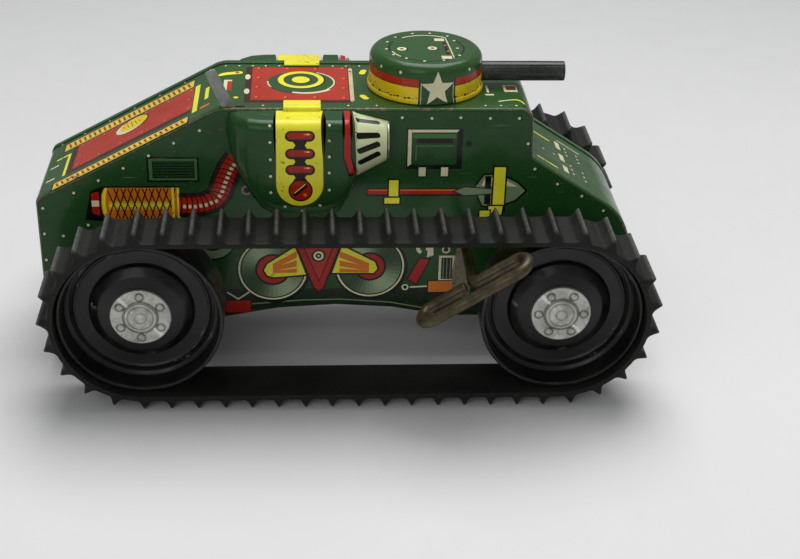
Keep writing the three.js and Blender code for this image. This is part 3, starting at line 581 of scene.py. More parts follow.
def on_glacis(g, y):
    return (hull_s(*(GLACIS_TOP + GLACIS_WAY * g)), y)


LIP = 1.0  # radius of the folded near edge
FLAT_EDGE = -(HALF_WIDTH - LIP)  # where the fold begins
FOLD_EDGE = FLAT_EDGE - LIP * math.pi / 2  # where the sheet ends


def lift_hull(flat):
    """From (distance along the hull line, y), the near edge folding down past y = -25."""
    s, w = flat[:, 0], flat[:, 1]
    over = np.clip(FLAT_EDGE - w, 0, LIP * math.pi / 2) / LIP
    y = np.where(over > 0, FLAT_EDGE - LIP * np.sin(over), w)
    drop = LIP * (1 - np.cos(over))
    line = along(HULL, HULL_RUN, s)
    low = along(offset_path(HULL, 1.0), HULL_RUN, s)
    at = line + (low - line) * drop[:, None]
    return np.stack([at[:, 0], y, at[:, 1]], 1)


def quad(f, x0, x1, y0, y1):
    return [f(x0, y0), f(x1, y0), f(x1, y1), f(x0, y1)]


def spots(f, places):
    return [f(*p) for p in places]


def paint_ramp(art):
    f, patch = on_ramp, art.patches(on_ramp)
    patch("red", 11.5, 66, -13, 10)
    patch("shade", 66, 68.5, -15.5, 10)
    patch("shade", 12, 68, -16.5, -13)
    for low, high, start in ((11.5, 18.5, 12.2), (-25.2, -19.5, 12.6)):
        patch("black", start - 0.6, 74, low - 0.6, high + 0.6)
        patch("rail yellow", start, 73.3, low, high)
        for k in range(25):
            u = start + 1.6 + k * 2.35
            art.line("deep red", [f(u, low + 0.9), f(u + 1.5, high - 0.9)], 0.95)
    art.fill("black", [f(*p) for p in arc(40, 3.5, 7.6, 0, 360, 30)[:-1]])
    almost_round = np.linspace(0, 6.1, 28)
    art.fill("cream", [f(40.7 + 6.9 * math.cos(t), 3.1 + 6.2 * math.sin(t)) for t in almost_round])
    art.fill("turret yellow", [f(39.4 + 6.3 * math.cos(t), 3.9 + 5.6 * math.sin(t)) for t in almost_round])
    for k in range(5):
        art.line("brown", [f(36 + k * 1.8, 0.8 + abs(k - 2)), f(37.4 + k * 1.8, 7.2 - abs(k - 2))], 0.35)
    rows = [(u, y) for u in (13, 23.7, 34, 44, 54, 64) for y in (-10.7, 8.6)]
    art.rivets("orange", spots(f, [*rows, (64, -1.5), (13.5, -0.8)]), 0.65)
    patch("yellow", 8.8, 11.0, -18, 10)
    patch("yellow", 69, 70.3, -15.5, 6)
    patch("yellow", 70.3, 76, 4.6, 6)
    patch("cream", 74, 78, -1.6, -0.5)
    patch("cream", 74, 78, -14.1, -12.9)
    patch("yellow", 4.2, 5.9, -10, 2)
    patch("orange", 3.2, 7.5, -18, -16.3)
    art.rivets("cream", spots(f, [(u, 21.6) for u in (5, 17, 29, 41, 53, 65, 76)]), 0.45)


def paint_deck(art):
    f, patch = on_deck, art.patches(on_deck)
    patch("shade", -41.5, -0.2, -20, 18.6)
    patch("red", -39, -0.7, -17, 18.3)
    art.fill("old cream", spots(f, [
        (-0.3, -17.6), (0.5, -19), (1.3, -17.8), (1.3, 16.6), (0.5, 17.8), (-0.3, 16.6)]))

    def ellipse(cx, cy, rx, ry, a=0, b=360, steps=40):
        return [f(cx + rx * math.cos(t), cy + ry * math.sin(t)) for t in np.radians(np.linspace(a, b, steps))]

    art.fill("black", ellipse(-19.2, 1.6, 13.7, 12.3)[:-1])
    art.fill("green", ellipse(-19.6, 2, 13.2, 11.8)[:-1])
    art.line("cream", ellipse(-19.4, 1.8, 13.2, 12, -38, 62), 0.7)
    art.line("cream", ellipse(-18.0, 2.2, 13.0, 12, -112, -42), 1.4)
    art.line("cream", ellipse(-19.6, 2, 13.0, 12, 176, 206), 0.6)
    art.fill("black", ellipse(-19.2, 4.2, 9.6, 9.6)[:-1])
    art.fill("yellow", ellipse(-19.5, 4.5, 9.2, 9.2)[:-1])
    art.fill("green", ellipse(-19.5, 4.5, 7, 7)[:-1])
    art.fill("black", ellipse(-19.3, 4.3, 4, 4)[:-1])
    art.fill("yellow", ellipse(-19.5, 4.5, 3.6, 3.6)[:-1])
    art.rivets("orange", spots(f, [
        (-36.5, 17.3), (-25, 17), (-13.7, 16.5), (-2.6, 17.3), (-36.4, 6.7), (-2.3, 5.8), (-36.8, -3.4),
        (-2.6, -4.5), (-36.8, -14), (-25.5, -14.3), (-14, -14.3), (-2.7, -14.7),
    ]), 0.7)
    for y in (7.5, -8):
        art.fill("black", ellipse(-40.6, y - 0.2, 1.5, 3.2)[:-1])
        art.fill("cream", ellipse(-40.7, y, 1.1, 2.8)[:-1])
    art.capsule("black", f(-51.3, 10.4), f(-44.2, 12.2), 3.6)
    art.capsule("yellow", f(-51.3, 10.5), f(-44.2, 12.3), 2.8)
    art.disc("red", *f(-45, 12.3), 0.9)
    patch("cream", -50, -48.6, -7, 4)
    patch("red", -48.6, -46.8, -7, 2.4)
    patch("cream", -50, -46.8, 2.8, 4.2)
    art.capsule("black", f(5.2, 11.6), f(6, 14.4), 3.2)
    art.capsule("yellow", f(5.2, 11.8), f(6, 14.6), 2.5)
    art.capsule("black", f(4.6, -13), f(5.8, -15.4), 3.2)
    art.capsule("yellow", f(4.6, -12.8), f(5.8, -15.2), 2.5)
    art.disc("yellow", *f(-44.7, -14.5), 1.0)
    row = [(x, 20) for x in (-50, -44.5, -39, -33.8, -28.3, -6.4, -1, 4.4, 56, 62, 67)]
    near = [(x, -22.6) for x in (-34, -1.2, 9.7, 52, 58, 64)]
    art.rivets("cream", spots(f, [*row, *near]), 0.5)
    patch("cream", 61, 66.5, -8.3, -1)
    patch("brown", 62, 66, -6.4, -2)
    patch("cream", 53, 56.5, -12, -10.6)
    patch("cream", 54, 54.9, -9, -1)
    art.line("cream", spots(f, [(57.5, -18.3), (61, -17.2), (63, -16.7)]), 0.8)
    art.line("yellow", spots(f, [(63, -16.7), (65, -16.7), (66.6, -18), (67.8, -20)]), 0.9)
    patch("yellow", 60, 62.5, 9, 13)
    patch("cream", 54, 57.5, 14, 15.2)


def paint_glacis(art):
    f, patch = on_glacis, art.patches(on_glacis)
    patch("yellow", 5, 14, 7.4, 8.6)
    patch("yellow", 3, 13.5, -20.1, -19)
    for low, high in ((5, 12), (-7, -0.5), (-18, -12)):
        patch("black", 17.6, 20.1, low - 0.6, high - 0.4)
        patch("cream", 17, 19.5, low, high)
    dots = [(g, y) for g in (22.3, 28.5) for y in (10, 6.5, 3, -7, -11, -15)]
    art.rivets("cream", spots(f, [*dots, (8.5, -6.3), (14, -5)]), 0.6)
    patch("cream", 19, 31, 14.6, 15.4)


def paint_ends(art):
    """Rivets and a plain pressed-look panel on the front and rear plates, which the photograph doesn't show."""
    for x, high in ((HULL_REAR, 66), (HULL_FRONT, 50)):
        def f(z, y, x=x):
            return (hull_s(x, z), y)

        art.fill("black green", quad(f, 29, high - 6, -15, 13))
        art.fill("side green", quad(f, 29.7, high - 6.7, -14.3, 12.3))
        places = [(z, y) for z in (24.5, high - 1.5) for y in (-21, -12.5, -4, 4.5, 13, 19.5)]
        places += [(z, y) for z in (34, high - 11) for y in (-21, 19.5)]
        art.rivets("cream", spots(f, places), 0.6)


def build_deck():
    low, high, far = hull_s(HULL_REAR, HULL_FOOT), hull_s(HULL_FRONT, HULL_FOOT), HALF_WIDTH - 0.2
    art = Print([(low, FOLD_EDGE), (high, FOLD_EDGE), (high, far), (low, far)], "green")
    art.box("edge", low, high, FOLD_EDGE, -25.1)
    # painted shade: a dark line along the far flange's edge, standing for the gap and its shadow under the fold
    art.box("black green", low, high, 21.7, 22.6)
    paint_ramp(art)
    paint_deck(art)
    paint_glacis(art)
    paint_ends(art)
    art.box("black", low, on_deck(-54, 0)[0], -24.4, -24.1)
    art.fill(None, quad(on_deck, -50.6, -41, -24.8, -23))  # the lever's slot
    # Lines across the sheet where it bends, with one just outside each rounded corner of 11 points
    supports = {round(float(s), 4) for s in HULL_RUN}
    for corner in range(5):
        supports |= {float(HULL_RUN[1 + corner * 11]) - 0.35, float(HULL_RUN[11 + corner * 11]) + 0.35}
    art.folds = [[(s, FOLD_EDGE), (s, far)] for s in sorted(supports) if low < s < high]
    for w in [*(FLAT_EDGE - LIP * math.pi / 2 * k / 6 for k in range(7)), FLAT_EDGE + 0.3]:
        art.folds.append([(low, w), (high, w)])
    build_tin("printed_top_sheet", art.mesh(lift_hull), ["hull_top_sheet"])


# ---- Sponson: x, depth, top, foot, shoulder radius, foot radius ----
SPONSON = np.array([
    [-48.4, 0.15, 106.5, 102.5, 4, 10], [-48, 0.7, 108, 101, 4, 10], [-46.6, 4, 110.2, 94, 4, 10],
    [-44, 8, 110.8, 86.5, 4, 10], [-40, 11.2, 110.9, 78.5, 4, 10], [-35, 12.5, 110.9, 72, 4, 10],
    [-29, 12.8, 110.9, 68.6, 4, 10], [-20, 12.8, 110.9, 67.4, 4, 10], [-10, 12.8, 110.9, 68, 4, 10],
    [-5, 12.8, 110.9, 70.5, 4, 10], [-1.5, 12.6, 110.9, 76, 5, 10], [0.6, 12.6, 110.7, 82.5, 8, 12],
    [2, 12.6, 110, 84.8, 12.6, 12.6], [14.4, 7.6, 106.6, 91.4, 7.6, 7.6],
])
NOSE_X = 14.4


def sponson_section(x):
    """The outline at x as (reach from the side plate, height), from the deck over the shoulder to the foot."""
    depth, top, foot, shoulder, heel = (np.interp(x, SPONSON[:, 0], SPONSON[:, k]) for k in range(1, 6))
    most = min(depth, (top - foot) / 2) * 0.995
    a, b = min(shoulder, most), min(heel, most)
    quarter = np.radians(np.linspace(0, 90, 13))
    over = [(depth - a + a * math.sin(t), top - a + a * math.cos(t)) for t in quarter]
    under = [(depth - b + b * math.cos(t), foot + b - b * math.sin(t)) for t in quarter]
    points = np.array([(0, top), *over, *under, (0, foot)])
    return points, lengths(points)


SECTIONS = {}


def section(x):
    key = round(float(x), 3)
    if key not in SECTIONS:
        SECTIONS[key] = sponson_section(key)
    return SECTIONS[key]


def face(x, z):
    """(x, distance down the section) of the outermost point at height z."""
    points, run = section(x)
    heights = points[1:, 1]
    return (x, float(np.interp(-z, -heights, run[1:])))


def lift_sponson(flat):
    out = []
    for x, v in flat:
        points, run = section(x)
        reach, z = along(points, run, np.array([v]))[0]
        out.append((x, -(HALF_WIDTH + reach), z))
    return np.array(out)


def paint_sponson(art):
    for ink, rear, front, radius in (("brown", -29.3, -10.9, 9.3), ("yellow", -29, -11.2, 9)):
        foot = [face(x, z) for x, z in arc(-20.1, 85.7, radius, 180, 360, 18)]
        art.fill(ink, [(rear, 0), face(rear, 95), *foot, face(front, 95), (front, 0)])
    for low, high in ((103.8, 100.2), (97, 93.5), (90.2, 87)):
        art.fill("black", [face(*p) for p in [
            (-22.8, low), (-17, low), (-18.1, (low + high) / 2), (-17, high), (-22.8, high),
            (-21.7, (low + high) / 2)]])
    for z in (105.7, 98.5, 91.8):
        a, b = face(-23.4, z), face(-16.4, z)
        art.capsule("black", a, b, 4.4)
        art.capsule("shade", a, b, 3.3)
        art.capsule("deep red", face(-23.4, z + 0.25), face(-16.4, z + 0.25), 2.7)
        art.capsule("orange", face(-18.2, z + 0.8), face(-16.4, z + 0.8), 0.7)
        art.capsule("cream", face(-17.2, z + 0.8), face(-16.6, z + 0.8), 0.5)
    centre = face(-19.8, 83.2)
    art.disc("black", *centre, 4.7)
    art.disc("deep red", *centre, 4.1)
    art.line("black", [(centre[0] - 2.6, centre[1] + 2.2), (centre[0] + 2.6, centre[1] - 2.2)], 1.3)
    art.line("yellow", [(centre[0] - 2.4, centre[1] + 1.2), (centre[0] + 1.8, centre[1] - 2.6)], 0.35)
    art.disc("orange", centre[0] + 1.7, centre[1] + 1.9, 0.7)
    left = [(-31.2, z) for z in (109.6, 103.2, 96.1, 89.1, 82.3)]
    right = [(-8.8, z) for z in (109.8, 104, 97.3, 90.6, 83.4)]
    below = [(-25.8, 76.3), (-19.1, 74.2), (-12.3, 76.8)]
    art.rivets("cream", [face(*p) for p in [*left, *right, *below]], 0.6)
    art.fill("black", [(-3.7, 0), *[face(-3.7, z) for z in (104, 97)], face(-1.4, 89), face(1.9, 89),
                       face(-0.2, 97), face(-0.2, 104), (-0.2, 0)])
    art.fill("deep red", [(-3.2, 0), *[face(-3.2, z) for z in (104, 97)], face(-0.8, 89.8), face(1.2, 89.8),
                          face(-0.7, 97), face(-0.7, 104), (-0.7, 0)])
    total = section(NOSE_X)[1][-1]
    cone = [(0.3, 0), (NOSE_X, 0), (NOSE_X, total), (8, section(8)[1][-1]), (2.2, section(2.2)[1][-1])]
    art.fill("cone", cone)
    for x0, z0, x1, z1 in (
        (2.2, 109.0, 9.8, 107.3), (2, 104.6, 9.8, 104), (2.7, 99.3, 9.8, 100.9), (3, 94.4, 10, 97),
    ):
        art.capsule("black", face(x0, z0), face(x1, z1), 2.0)


def build_sponson(side, mirror):
    rows = np.concatenate([np.linspace(-48.4, -44, 12), np.linspace(-43, -5, 39), np.linspace(-4.4, 2, 14),
                           np.linspace(3, NOSE_X, 12)])
    ends = [section(x)[1][-1] for x in rows]
    art = Print([(float(x), 0.0) for x in rows] + [
        (float(x), float(v)) for x, v in zip(rows[::-1], ends[::-1])], "side green")
    paint_sponson(art)
    art.dots = [
        (float(x), float(v)) for x, end in zip(rows[1:-1], ends[1:-1]) for v in np.arange(0.8, end - 0.5, 0.9)
    ]
    build_tin(f"{side}_sponson_skin", art.mesh(lift_sponson), mirror=mirror, way=(0, -1, 0))
    nose = Print([(p[0], p[1]) for p in sponson_section(NOSE_X)[0]], "cone")
    nose.ring("black", "grey green", 1.5, 99, 4.6, 3.8)
    nose.disc("black", 1.5, 99, 1.6)

    def lift_nose(flat):
        return np.stack([np.full(len(flat), NOSE_X - 0.1), -(HALF_WIDTH + flat[:, 0]), flat[:, 1]], 1)

    build_tin(f"{side}_sponson_nose", nose.mesh(lift_nose), mirror=mirror, way=(1, 0, 0))


# ---- Side plates ----
def paint_side(art):
    art.fill("black green", [(-122, 20), (113, 20), (112.5, 40), (60, 40), (60, 33), (-122, 33)])
    art.fill("side green", [(-55, 20), (-40, 23.4), (-20, 24.8), (-4, 25.1), (16, 23.6), (33, 20), (33, 18),
                            (-55, 18)])
    art.line("grey green", [(-58, 21.5), (-40, 26), (-20, 27.6), (-4, 27.9), (16, 26.4), (36, 22.4)], 0.5)
    # muffler and its hose
    art.fill("black", [(-104.6, 64.5), (-97, 63.9), (-67, 63.9), (-67, 79.2), (-97, 79.2), (-101.8, 77)])
    art.fill("orange", [(-96.4, 64.7), (-97.6, 67.5), (-98, 71.6), (-97.6, 75.7), (-96.4, 78.5), (-67.5, 78.5),
                        (-67.5, 64.7)])
    art.box("glow", -95, -71.4, 69.0, 72.6)
    art.box("yellow", -95, -71.4, 70.1, 71.5)
    for k in range(9):
        x = -93.2 + k * 2.75
        art.line("black", [(x - 2.2, 65.0), (x + 2.4, 78.2)], 0.5)
        art.line("black", [(x + 2.4, 65.0), (x - 2.2, 78.2)], 0.5)
    art.fill("yellow", [
        (-96.2, 64.9), (-97.2, 67.6), (-97.6, 71.6), (-97.2, 75.6), (-96.2, 78.3), (-95.0, 78.3),
        (-95.9, 75.4), (-96.2, 71.6), (-95.9, 67.8), (-95.0, 64.9),
    ])
    for x in (-70.4, -68.3):
        art.box("yellow", x, x + 1.0, 64.7, 78.5)
    art.fill("deep red", [(-101.6, 67.6), (-98.6, 66.4), (-98.6, 76.9), (-101.6, 76.0)])
    art.box("cream", -101.6, -98.7, 70.4, 73)
    hose = np.array([(-67.6, 71), (-62, 70.9), (-58, 71.4), (-54, 73), (-51.5, 76), (-49.8, 81), (-47.5, 86.5),
                     (-44.5, 91)])
    for ink, width in (("black", 10.4), ("shade", 9.2), ("deep red", 6.6), ("red", 3.4)):
        art.line(ink, hose, width)
    run = lengths(hose)
    for s in np.arange(1.2, run[-1] - 0.5, 2.1):
        a, b = along(hose, run, np.array([s - 0.1, s + 0.1]))
        way = unit(b - a)
        side = way[::-1] * np.array([-1, 1])
        art.line("cream", [a + way * 0.45 - side * 0.7, a + way * 1.6 - side * 0.7], 1.5)
        bow = [a - side * 4.6 - way * 0.9, a - side * 2, a + side * 2, a + side * 4.6 - way * 0.9]
        art.line("black", bow, 0.45)
    # louvre
    art.box("black", -79.4, -59.2, 80.9, 91.6)
    art.box("light green", -78.6, -60, 81.7, 90.8)
    art.box("black", -77.3, -61, 82.6, 90)
    for k in range(6):
        z = 83.2 + k * 1.2
        art.box("side green", -76.9, -61.4, z, z + 0.65)
    # fittings
    art.ring("tin", "black", -41, 77.3, 2.1, 1.2)
    art.disc("black", 45.8, 97.1, 1.3)
    art.ring("black", "grey green", -0.5, 79.5, 1.9, 1.2)
    # hatch
    art.box("black", 21.4, 43.4, 86.3, 103.5)
    art.fill("cream", [(22, 87.4), (23.4, 88.4), (23.4, 101.9), (41, 101.9), (42, 103), (22, 103)])
    art.box("side green", 23.4, 41.2, 88.2, 101.9)
    art.box("light green", 24.0, 40.8, 99.4, 101.2)
    art.box("light green", 25, 39.6, 90, 96.4)
    art.box("side green", 25.5, 40.2, 89.6, 95.9)
    art.box("black", 25.5, 39.5, 97.3, 99.2)
    for x in (26.5, 35.3):
        art.box("black", x - 0.5, x + 3.3, 82.7, 87)
        art.box("cream", x, x + 2.8, 83.2, 87)
    # shovel
    art.box("black", 6, 43.5, 74.6, 78)
    art.box("deep red", 6.5, 43.5, 75.4, 77.6)
    art.box("orange", 7, 43, 76.9, 77.4)
    art.outlined("yellow", [(15, 73.8), (18.7, 73.8), (18.7, 81.5), (15, 81.5)])
    art.outlined("yellow", [(13.3, 71.3), (19.2, 71.3), (19.2, 73.8), (13.3, 73.8)])
    blade = [(49, 78), (52.5, 83.5), (56, 83.8), (60, 83.3), (66, 80), (69.2, 76.8), (65.5, 72.8), (60.5, 70.8),
             (56, 70), (52.5, 70.3), (50.5, 74.5)]
    art.outlined("grey green", blade, 0.8)
    art.fill("cream", [(51.5, 79), (53.2, 82.6), (60, 82.2), (66, 78.6), (60, 78.9)])
    art.box("black", 53.0, 55.5, 70.8, 83.2)
    art.outlined("grey green", [(41, 76.6), (45, 78.3), (56.5, 77.4), (56.5, 75.6), (45, 74.9)], 0.5)
    art.outlined("yellow", [(56.5, 68.3), (61, 68.3), (61, 87), (56.5, 87)])
    art.outlined("yellow", [(54.6, 65.6), (60.2, 66.2), (60.6, 70), (55, 70)])
    # bogie wheels and arms
    for cx, cz, hub in ((-31.3, 41.8, 6.3), (8, 43, 5.7)):
        art.disc("black", cx + 0.4, cz - 0.4, 15)
        art.disc("cream", cx, cz, 13.9)
        art.disc("black green", cx, cz, 13.2)
        for k in range(36):
            a = k * 10
            sheen = 0.5 + 0.5 * math.cos(2 * math.radians(a - 118))
            tone = (0.03 + 0.36 * sheen ** 1.6, 0.075 + 0.42 * sheen ** 1.6, 0.03 + 0.27 * sheen ** 1.6, 0.3)
            art.fill(tone, [(cx, cz), *arc(cx, cz, 12.6, a, a + 10.2, 2)])
        art.disc("black", cx, cz, hub + 0.9)
        art.disc("deep red", cx, cz, hub)
        art.disc("black", cx, cz, 1.8)
    left = [(-22.3, 52), (-18, 39.5), (-31, 38.3), (-33.6, 39.2), (-34.8, 41.5), (-33.5, 44.3)]
    right = [(-3.3, 52.5), (-7.3, 40.2), (9.5, 40), (11, 42), (10, 45)]
    for arm, tip, root in ((left, -34.5 + 3.2, -21.6), (right, 10.8 - 3.2, -4.4)):
        art.outlined("yellow", arm, 0.8)
        for low, high in ((40.4, 42.3), (43.2, 46.0), (47.2, 50.2)):
            art.fill("orange", [(tip, 39.4 + (low - 38) * 0.3), (root, low), (root, high),
                                (tip, 39.4 + (high - 38) * 0.42)])
    art.outlined("deep red", [(-22, 54), (-4, 54), (-11, 33.5), (-12.7, 31.8), (-14.5, 33.5)], 0.7)
    art.outlined("red", [(-18.5, 51.6), (-7.4, 51.6), (-12.6, 37)], 0.5)
    art.disc("black", -12.8, 48, 2.9)
    art.ring("cream", "black", -12.8, 48, 2.1, 1.2)
    art.disc("cream", -12.8, 48, 0.5)
    # wrench, frame and small pieces
    art.line("cream", arc(29.3, 51.2, 2.0, -30, 250, 14), 1.5)
    art.fill("cream", [(31, 47), (33.7, 48), (33.4, 53.5), (31.4, 52.5)])
    art.outlined("deep red", [(28.2, 46.5), (32, 46), (27, 35), (23.5, 37)], 0.6)
    art.box("cream", 36, 42.5, 36, 47.8)
    art.box("black", 37, 41.5, 37, 46.8)
    for k in range(3):
        art.box("grey green", 37.7 + k * 1.4, 38.1 + k * 1.4, 37.4, 46.4)
    art.ring("cream", "black", 38.7, 50.5, 1.7, 1.0)
    art.outlined("orange", [(32, 31), (43, 31), (43, 36), (32, 36)], 0.5)
    art.line("cream", [(24.5, 33.3), (31.5, 33.7)], 0.6)
    art.ring("cream", "black", 22.5, 33.3, 1.4, 0.8)
    art.disc("black", -55, 55.5, 9.2)
    art.disc("grey green", -55, 55.5, 8.5)
    art.disc("black green", -55, 55.5, 5)
    art.disc("deep red", -60.5, 50, 1.4)
    art.outlined("deep red", [(-50.5, 22), (-40.5, 22), (-40.5, 27.5), (-50.5, 27.5)], 0.5)
    art.line("cream", [(-50, 31.5), (-45.5, 28.3), (-41, 31.5)], 0.6)
    art.outlined("yellow", [(51.5, 53), (55.5, 53.5), (55.5, 68), (51.5, 68)], 0.6)
    art.fill("tin", [(42, 30), (49, 27), (49.6, 40), (48.5, 52), (43, 51), (41.4, 40)])
    art.rivets("cream", [
        (-58.4, 102.6), (-68.5, 97.4), (-78.4, 92.1), (-88.4, 86.8), (-98.3, 81.6), (-108.2, 76.3),
        (-120.7, 69.7), (-121, 58.5), (-121.3, 46.8), (-113.7, 57.5), (-103.6, 62.3), (19.5, 108), (31, 107.7),
        (42.2, 108), (53.7, 107.7), (65, 107.7), (69.1, 97), (72.5, 86.2), (82, 79.6), (92.2, 74.3),
        (101.5, 67.8),
    ], 0.6)


def build_side(side, mirror):
    top = offset_path(HULL, 1.15)
    bottom = [(40, 20), (17, 24.2), (-6, 25.6), (-29, 24.2), (-52, 20)]
    art = Print([*map(tuple, top), *bottom], "side green")
    paint_side(art)
    xs = np.linspace(-47.4, NOSE_X - 0.6, 40)
    roots = [(x, float(np.interp(x, SPONSON[:, 0], SPONSON[:, 3])) + 0.25) for x in xs]
    tops = [(x, float(np.interp(x, SPONSON[:, 0], SPONSON[:, 2])) - 0.25) for x in xs[::-1]]
    art.fill(None, [*roots, *tops])
    for x in (-HALF_BASE, HALF_BASE):
        art.disc(None, x, AXLE_HEIGHT, 4.0, steps=32)
    if side == "right":
        art.disc("tin", KEY_X, KEY_Z, 5.2)
        art.disc(None, KEY_X, KEY_Z, 3.0, steps=28)

    def lift_side(flat):
        return np.stack([flat[:, 0], np.full(len(flat), -HALF_WIDTH), flat[:, 1]], 1)

    build_tin(f"{side}_printed_side", art.mesh(lift_side), [f"{side}_side_plate"], mirror, way=(0, -1, 0))


def build_hem():
    """The far plate's flange, folded over the top sheet's edge."""
    outer = rounded_path([(22.3, 0.02, 0), (22.3, 0.45, 0.2), (26.05, 0.45, 1.0), (26.05, -1.0, 0)], 5)
    inner = rounded_path([(25.6, -1.0, 0), (25.6, 0.02, 0.4), (22.4, 0.02, 0)], 5)
    shape = [*outer, *inner]
    lines = [offset_path(HULL, -h) for _, h in shape]
    points, faces = loft([
        [(line[i][0], y, line[i][1]) for line, (y, _) in zip(lines, shape)] for i in range(len(HULL))
    ])
    make("left_folded_edge", points, faces, "chassis", ["printed_tin"],
         inks=[INK["green"]] * len(faces))


def build_lock_tab(side, mirror):
    """A strip folded over the deck's edge, a little smaller at its two sheared ends."""
    outer = rounded_path([(19.2, 112.0, 0), (19.2, 112.6, 0.35), (26.75, 112.6, 1.1), (26.75, 110.9, 0)], 6)
    inner = rounded_path([(26.2, 110.9, 0), (26.2, 112.0, 0.5), (19.4, 112.0, 0)], 6)
    shape = [*outer, *inner]
    centre = np.mean(shape, axis=0)[0]
    points, faces = loft([
        [(x, -(y + (centre - y) * pinch * 0.03), z - pinch * 0.15 * (z > 112.3)) for y, z in shape]
        for x, pinch in ((-26.2, 0.5), (-26.0, 0.12), (-25.7, 0), (-12.4, 0), (-12.1, 0.12), (-11.9, 0.5))
    ])
    make(f"{side}_folded_tab", points, faces, "chassis", ["printed_tin"],
         [f"{side}_lock_tab"], inks=[INK["yellow"]] * len(faces), mirror=mirror)


# ---- Turret ----
AROUND = 144  # points round the can
WALL = 22.4
GUN_HEIGHT = 117.4
CAN = rounded_path([
    (0, TURRET_TOP + 0.25, 0), (WALL, TURRET_TOP - 0.1, 4), (WALL, 114.5, 0.6), (WALL + 0.25, 113.9, 0.3),
    (23.1, 113.3, 0.5), (23.2, 112.15, 0),
], 8)
CAN_RUN = lengths(CAN)
FLAT_TOP = 17.2
WALL_SCALE = 0.36  # artwork units a degree, so that the wall's triangles are well shaped


def lift_can(angle, run):
    at = along(CAN, CAN_RUN, run)
    return np.stack([TURRET_X + at[:, 0] * np.cos(angle), at[:, 0] * np.sin(angle), at[:, 1]], 1)


def can_height(z):
    """Distance down the can's profile at height z."""
    return float(np.interp(-z, -CAN[:, 1], CAN_RUN))


def paint_turret_top(art):
    def circle(cx, cy, r, a, b):
        return [(x - TURRET_X, y) for x, y in arc(cx, cy, r, a, b, 20)]

    art.line("black", circle(30, -1.5, 14.8, 150, 400), 0.7)
    art.line("cream", circle(30, -1.5, 14.6, 55, 128), 0.7)
    art.line("cream", circle(30, -1.5, 14.3, 196, 222), 0.6)
    for x, y in ((20.2, -2.8), (32.3, -2.2)):
        art.disc("black", x - TURRET_X + 0.3, y - 0.3, 2.3)
        art.ring("cream", "green", x - TURRET_X, y, 1.9, 0.8)
    for x0, x1, y0, y1 in ((33.8, 37.7, 6.3, 9.3), (35.2, 39.2, -13.6, -10.4)):
        art.box("black", x0 - TURRET_X + 0.4, x1 - TURRET_X + 0.4, y0 - 0.4, y1 - 0.4)
        art.box("cream", x0 - TURRET_X, x1 - TURRET_X, y0, y1)
    art.line("cream", [(38.4 - TURRET_X, 10), (39.3 - TURRET_X, -2), (40 - TURRET_X, -13)], 0.45)
    art.line("black", [(37.3 - TURRET_X, 5), (38 - TURRET_X, -9)], 1.3)
    art.rivets("orange", [(37.5 - TURRET_X, 1.2), (38.3 - TURRET_X, -5.3)], 0.6)
    art.rivets("cream", [(x - TURRET_X, y) for x, y in [
        (18.5, 11), (14.9, 5.5), (14.2, -2.6), (16.6, -9), (21.4, -13), (28.2, -16), (25.6, 15.4), (32.6, 15.8),
        (35.8, -15), (41.7, 7), (42.3, -1.7), (42.4, -9.6), (39.5, 12.5),
    ]], 0.6)


def paint_turret_wall(art):
    """x is the angle in degrees, y the height, both as drawn; the caller scales them."""
    art.box("red", -180, 180, 119, 121.8)
    art.box("black", -180, 180, 118.7, 119)
    art.box("turret yellow", -180, 180, 112, 118.7)
    for k in range(90):
        a = -180 + 4 * k
        art.box(("black", "brown", "black")[k % 3], a, a + 3.1, 113.75 + 0.12 * (k % 4), 114.2 + 0.16 * (k % 3))
    mid, wide = -82, 18.2
    art.box("green", mid - wide, mid + wide, 112, 124)
    for x in (mid - wide + 1.4, mid + wide - 2.0):
        art.box("cream", x, x + 0.6, 112, 120.5)
    for x in (mid - wide - 0.8, mid + wide):
        art.box("black", x, x + 0.8, 112, 122)
    star = []
    for k in range(10):
        r = 7.5 if k % 2 == 0 else 3.35
        a = math.radians(90 + 36 * k)
        star.append((mid + r * math.cos(a) * 2.35, 118.1 + r * math.sin(a) * 0.95))
    art.fill("black", [(x + 0.9, z - 0.3) for x, z in star])
    art.fill("cream", star)
    for k in range(14):
        a = -170 + k * 25
        if abs(a - mid) > 22 and abs(a) > 16:
            art.disc("cream", a, 124.0, 1.5, 0.6, steps=12)


def turret_top():
    top = Print([(FLAT_TOP * math.cos(a), FLAT_TOP * math.sin(a)) for a in turns(AROUND)], "green")
    paint_turret_top(top)
    for r in np.arange(2, FLAT_TOP - 0.5, 2.0):
        count = max(8, int(r * 3))
        top.dots += [(r * math.cos(a), r * math.sin(a)) for a in (
            2 * math.pi * (k + 0.5) / count for k in range(count))]
    return top.mesh(lambda flat: lift_can(np.arctan2(flat[:, 1], flat[:, 0]), np.hypot(flat[:, 0], flat[:, 1])))


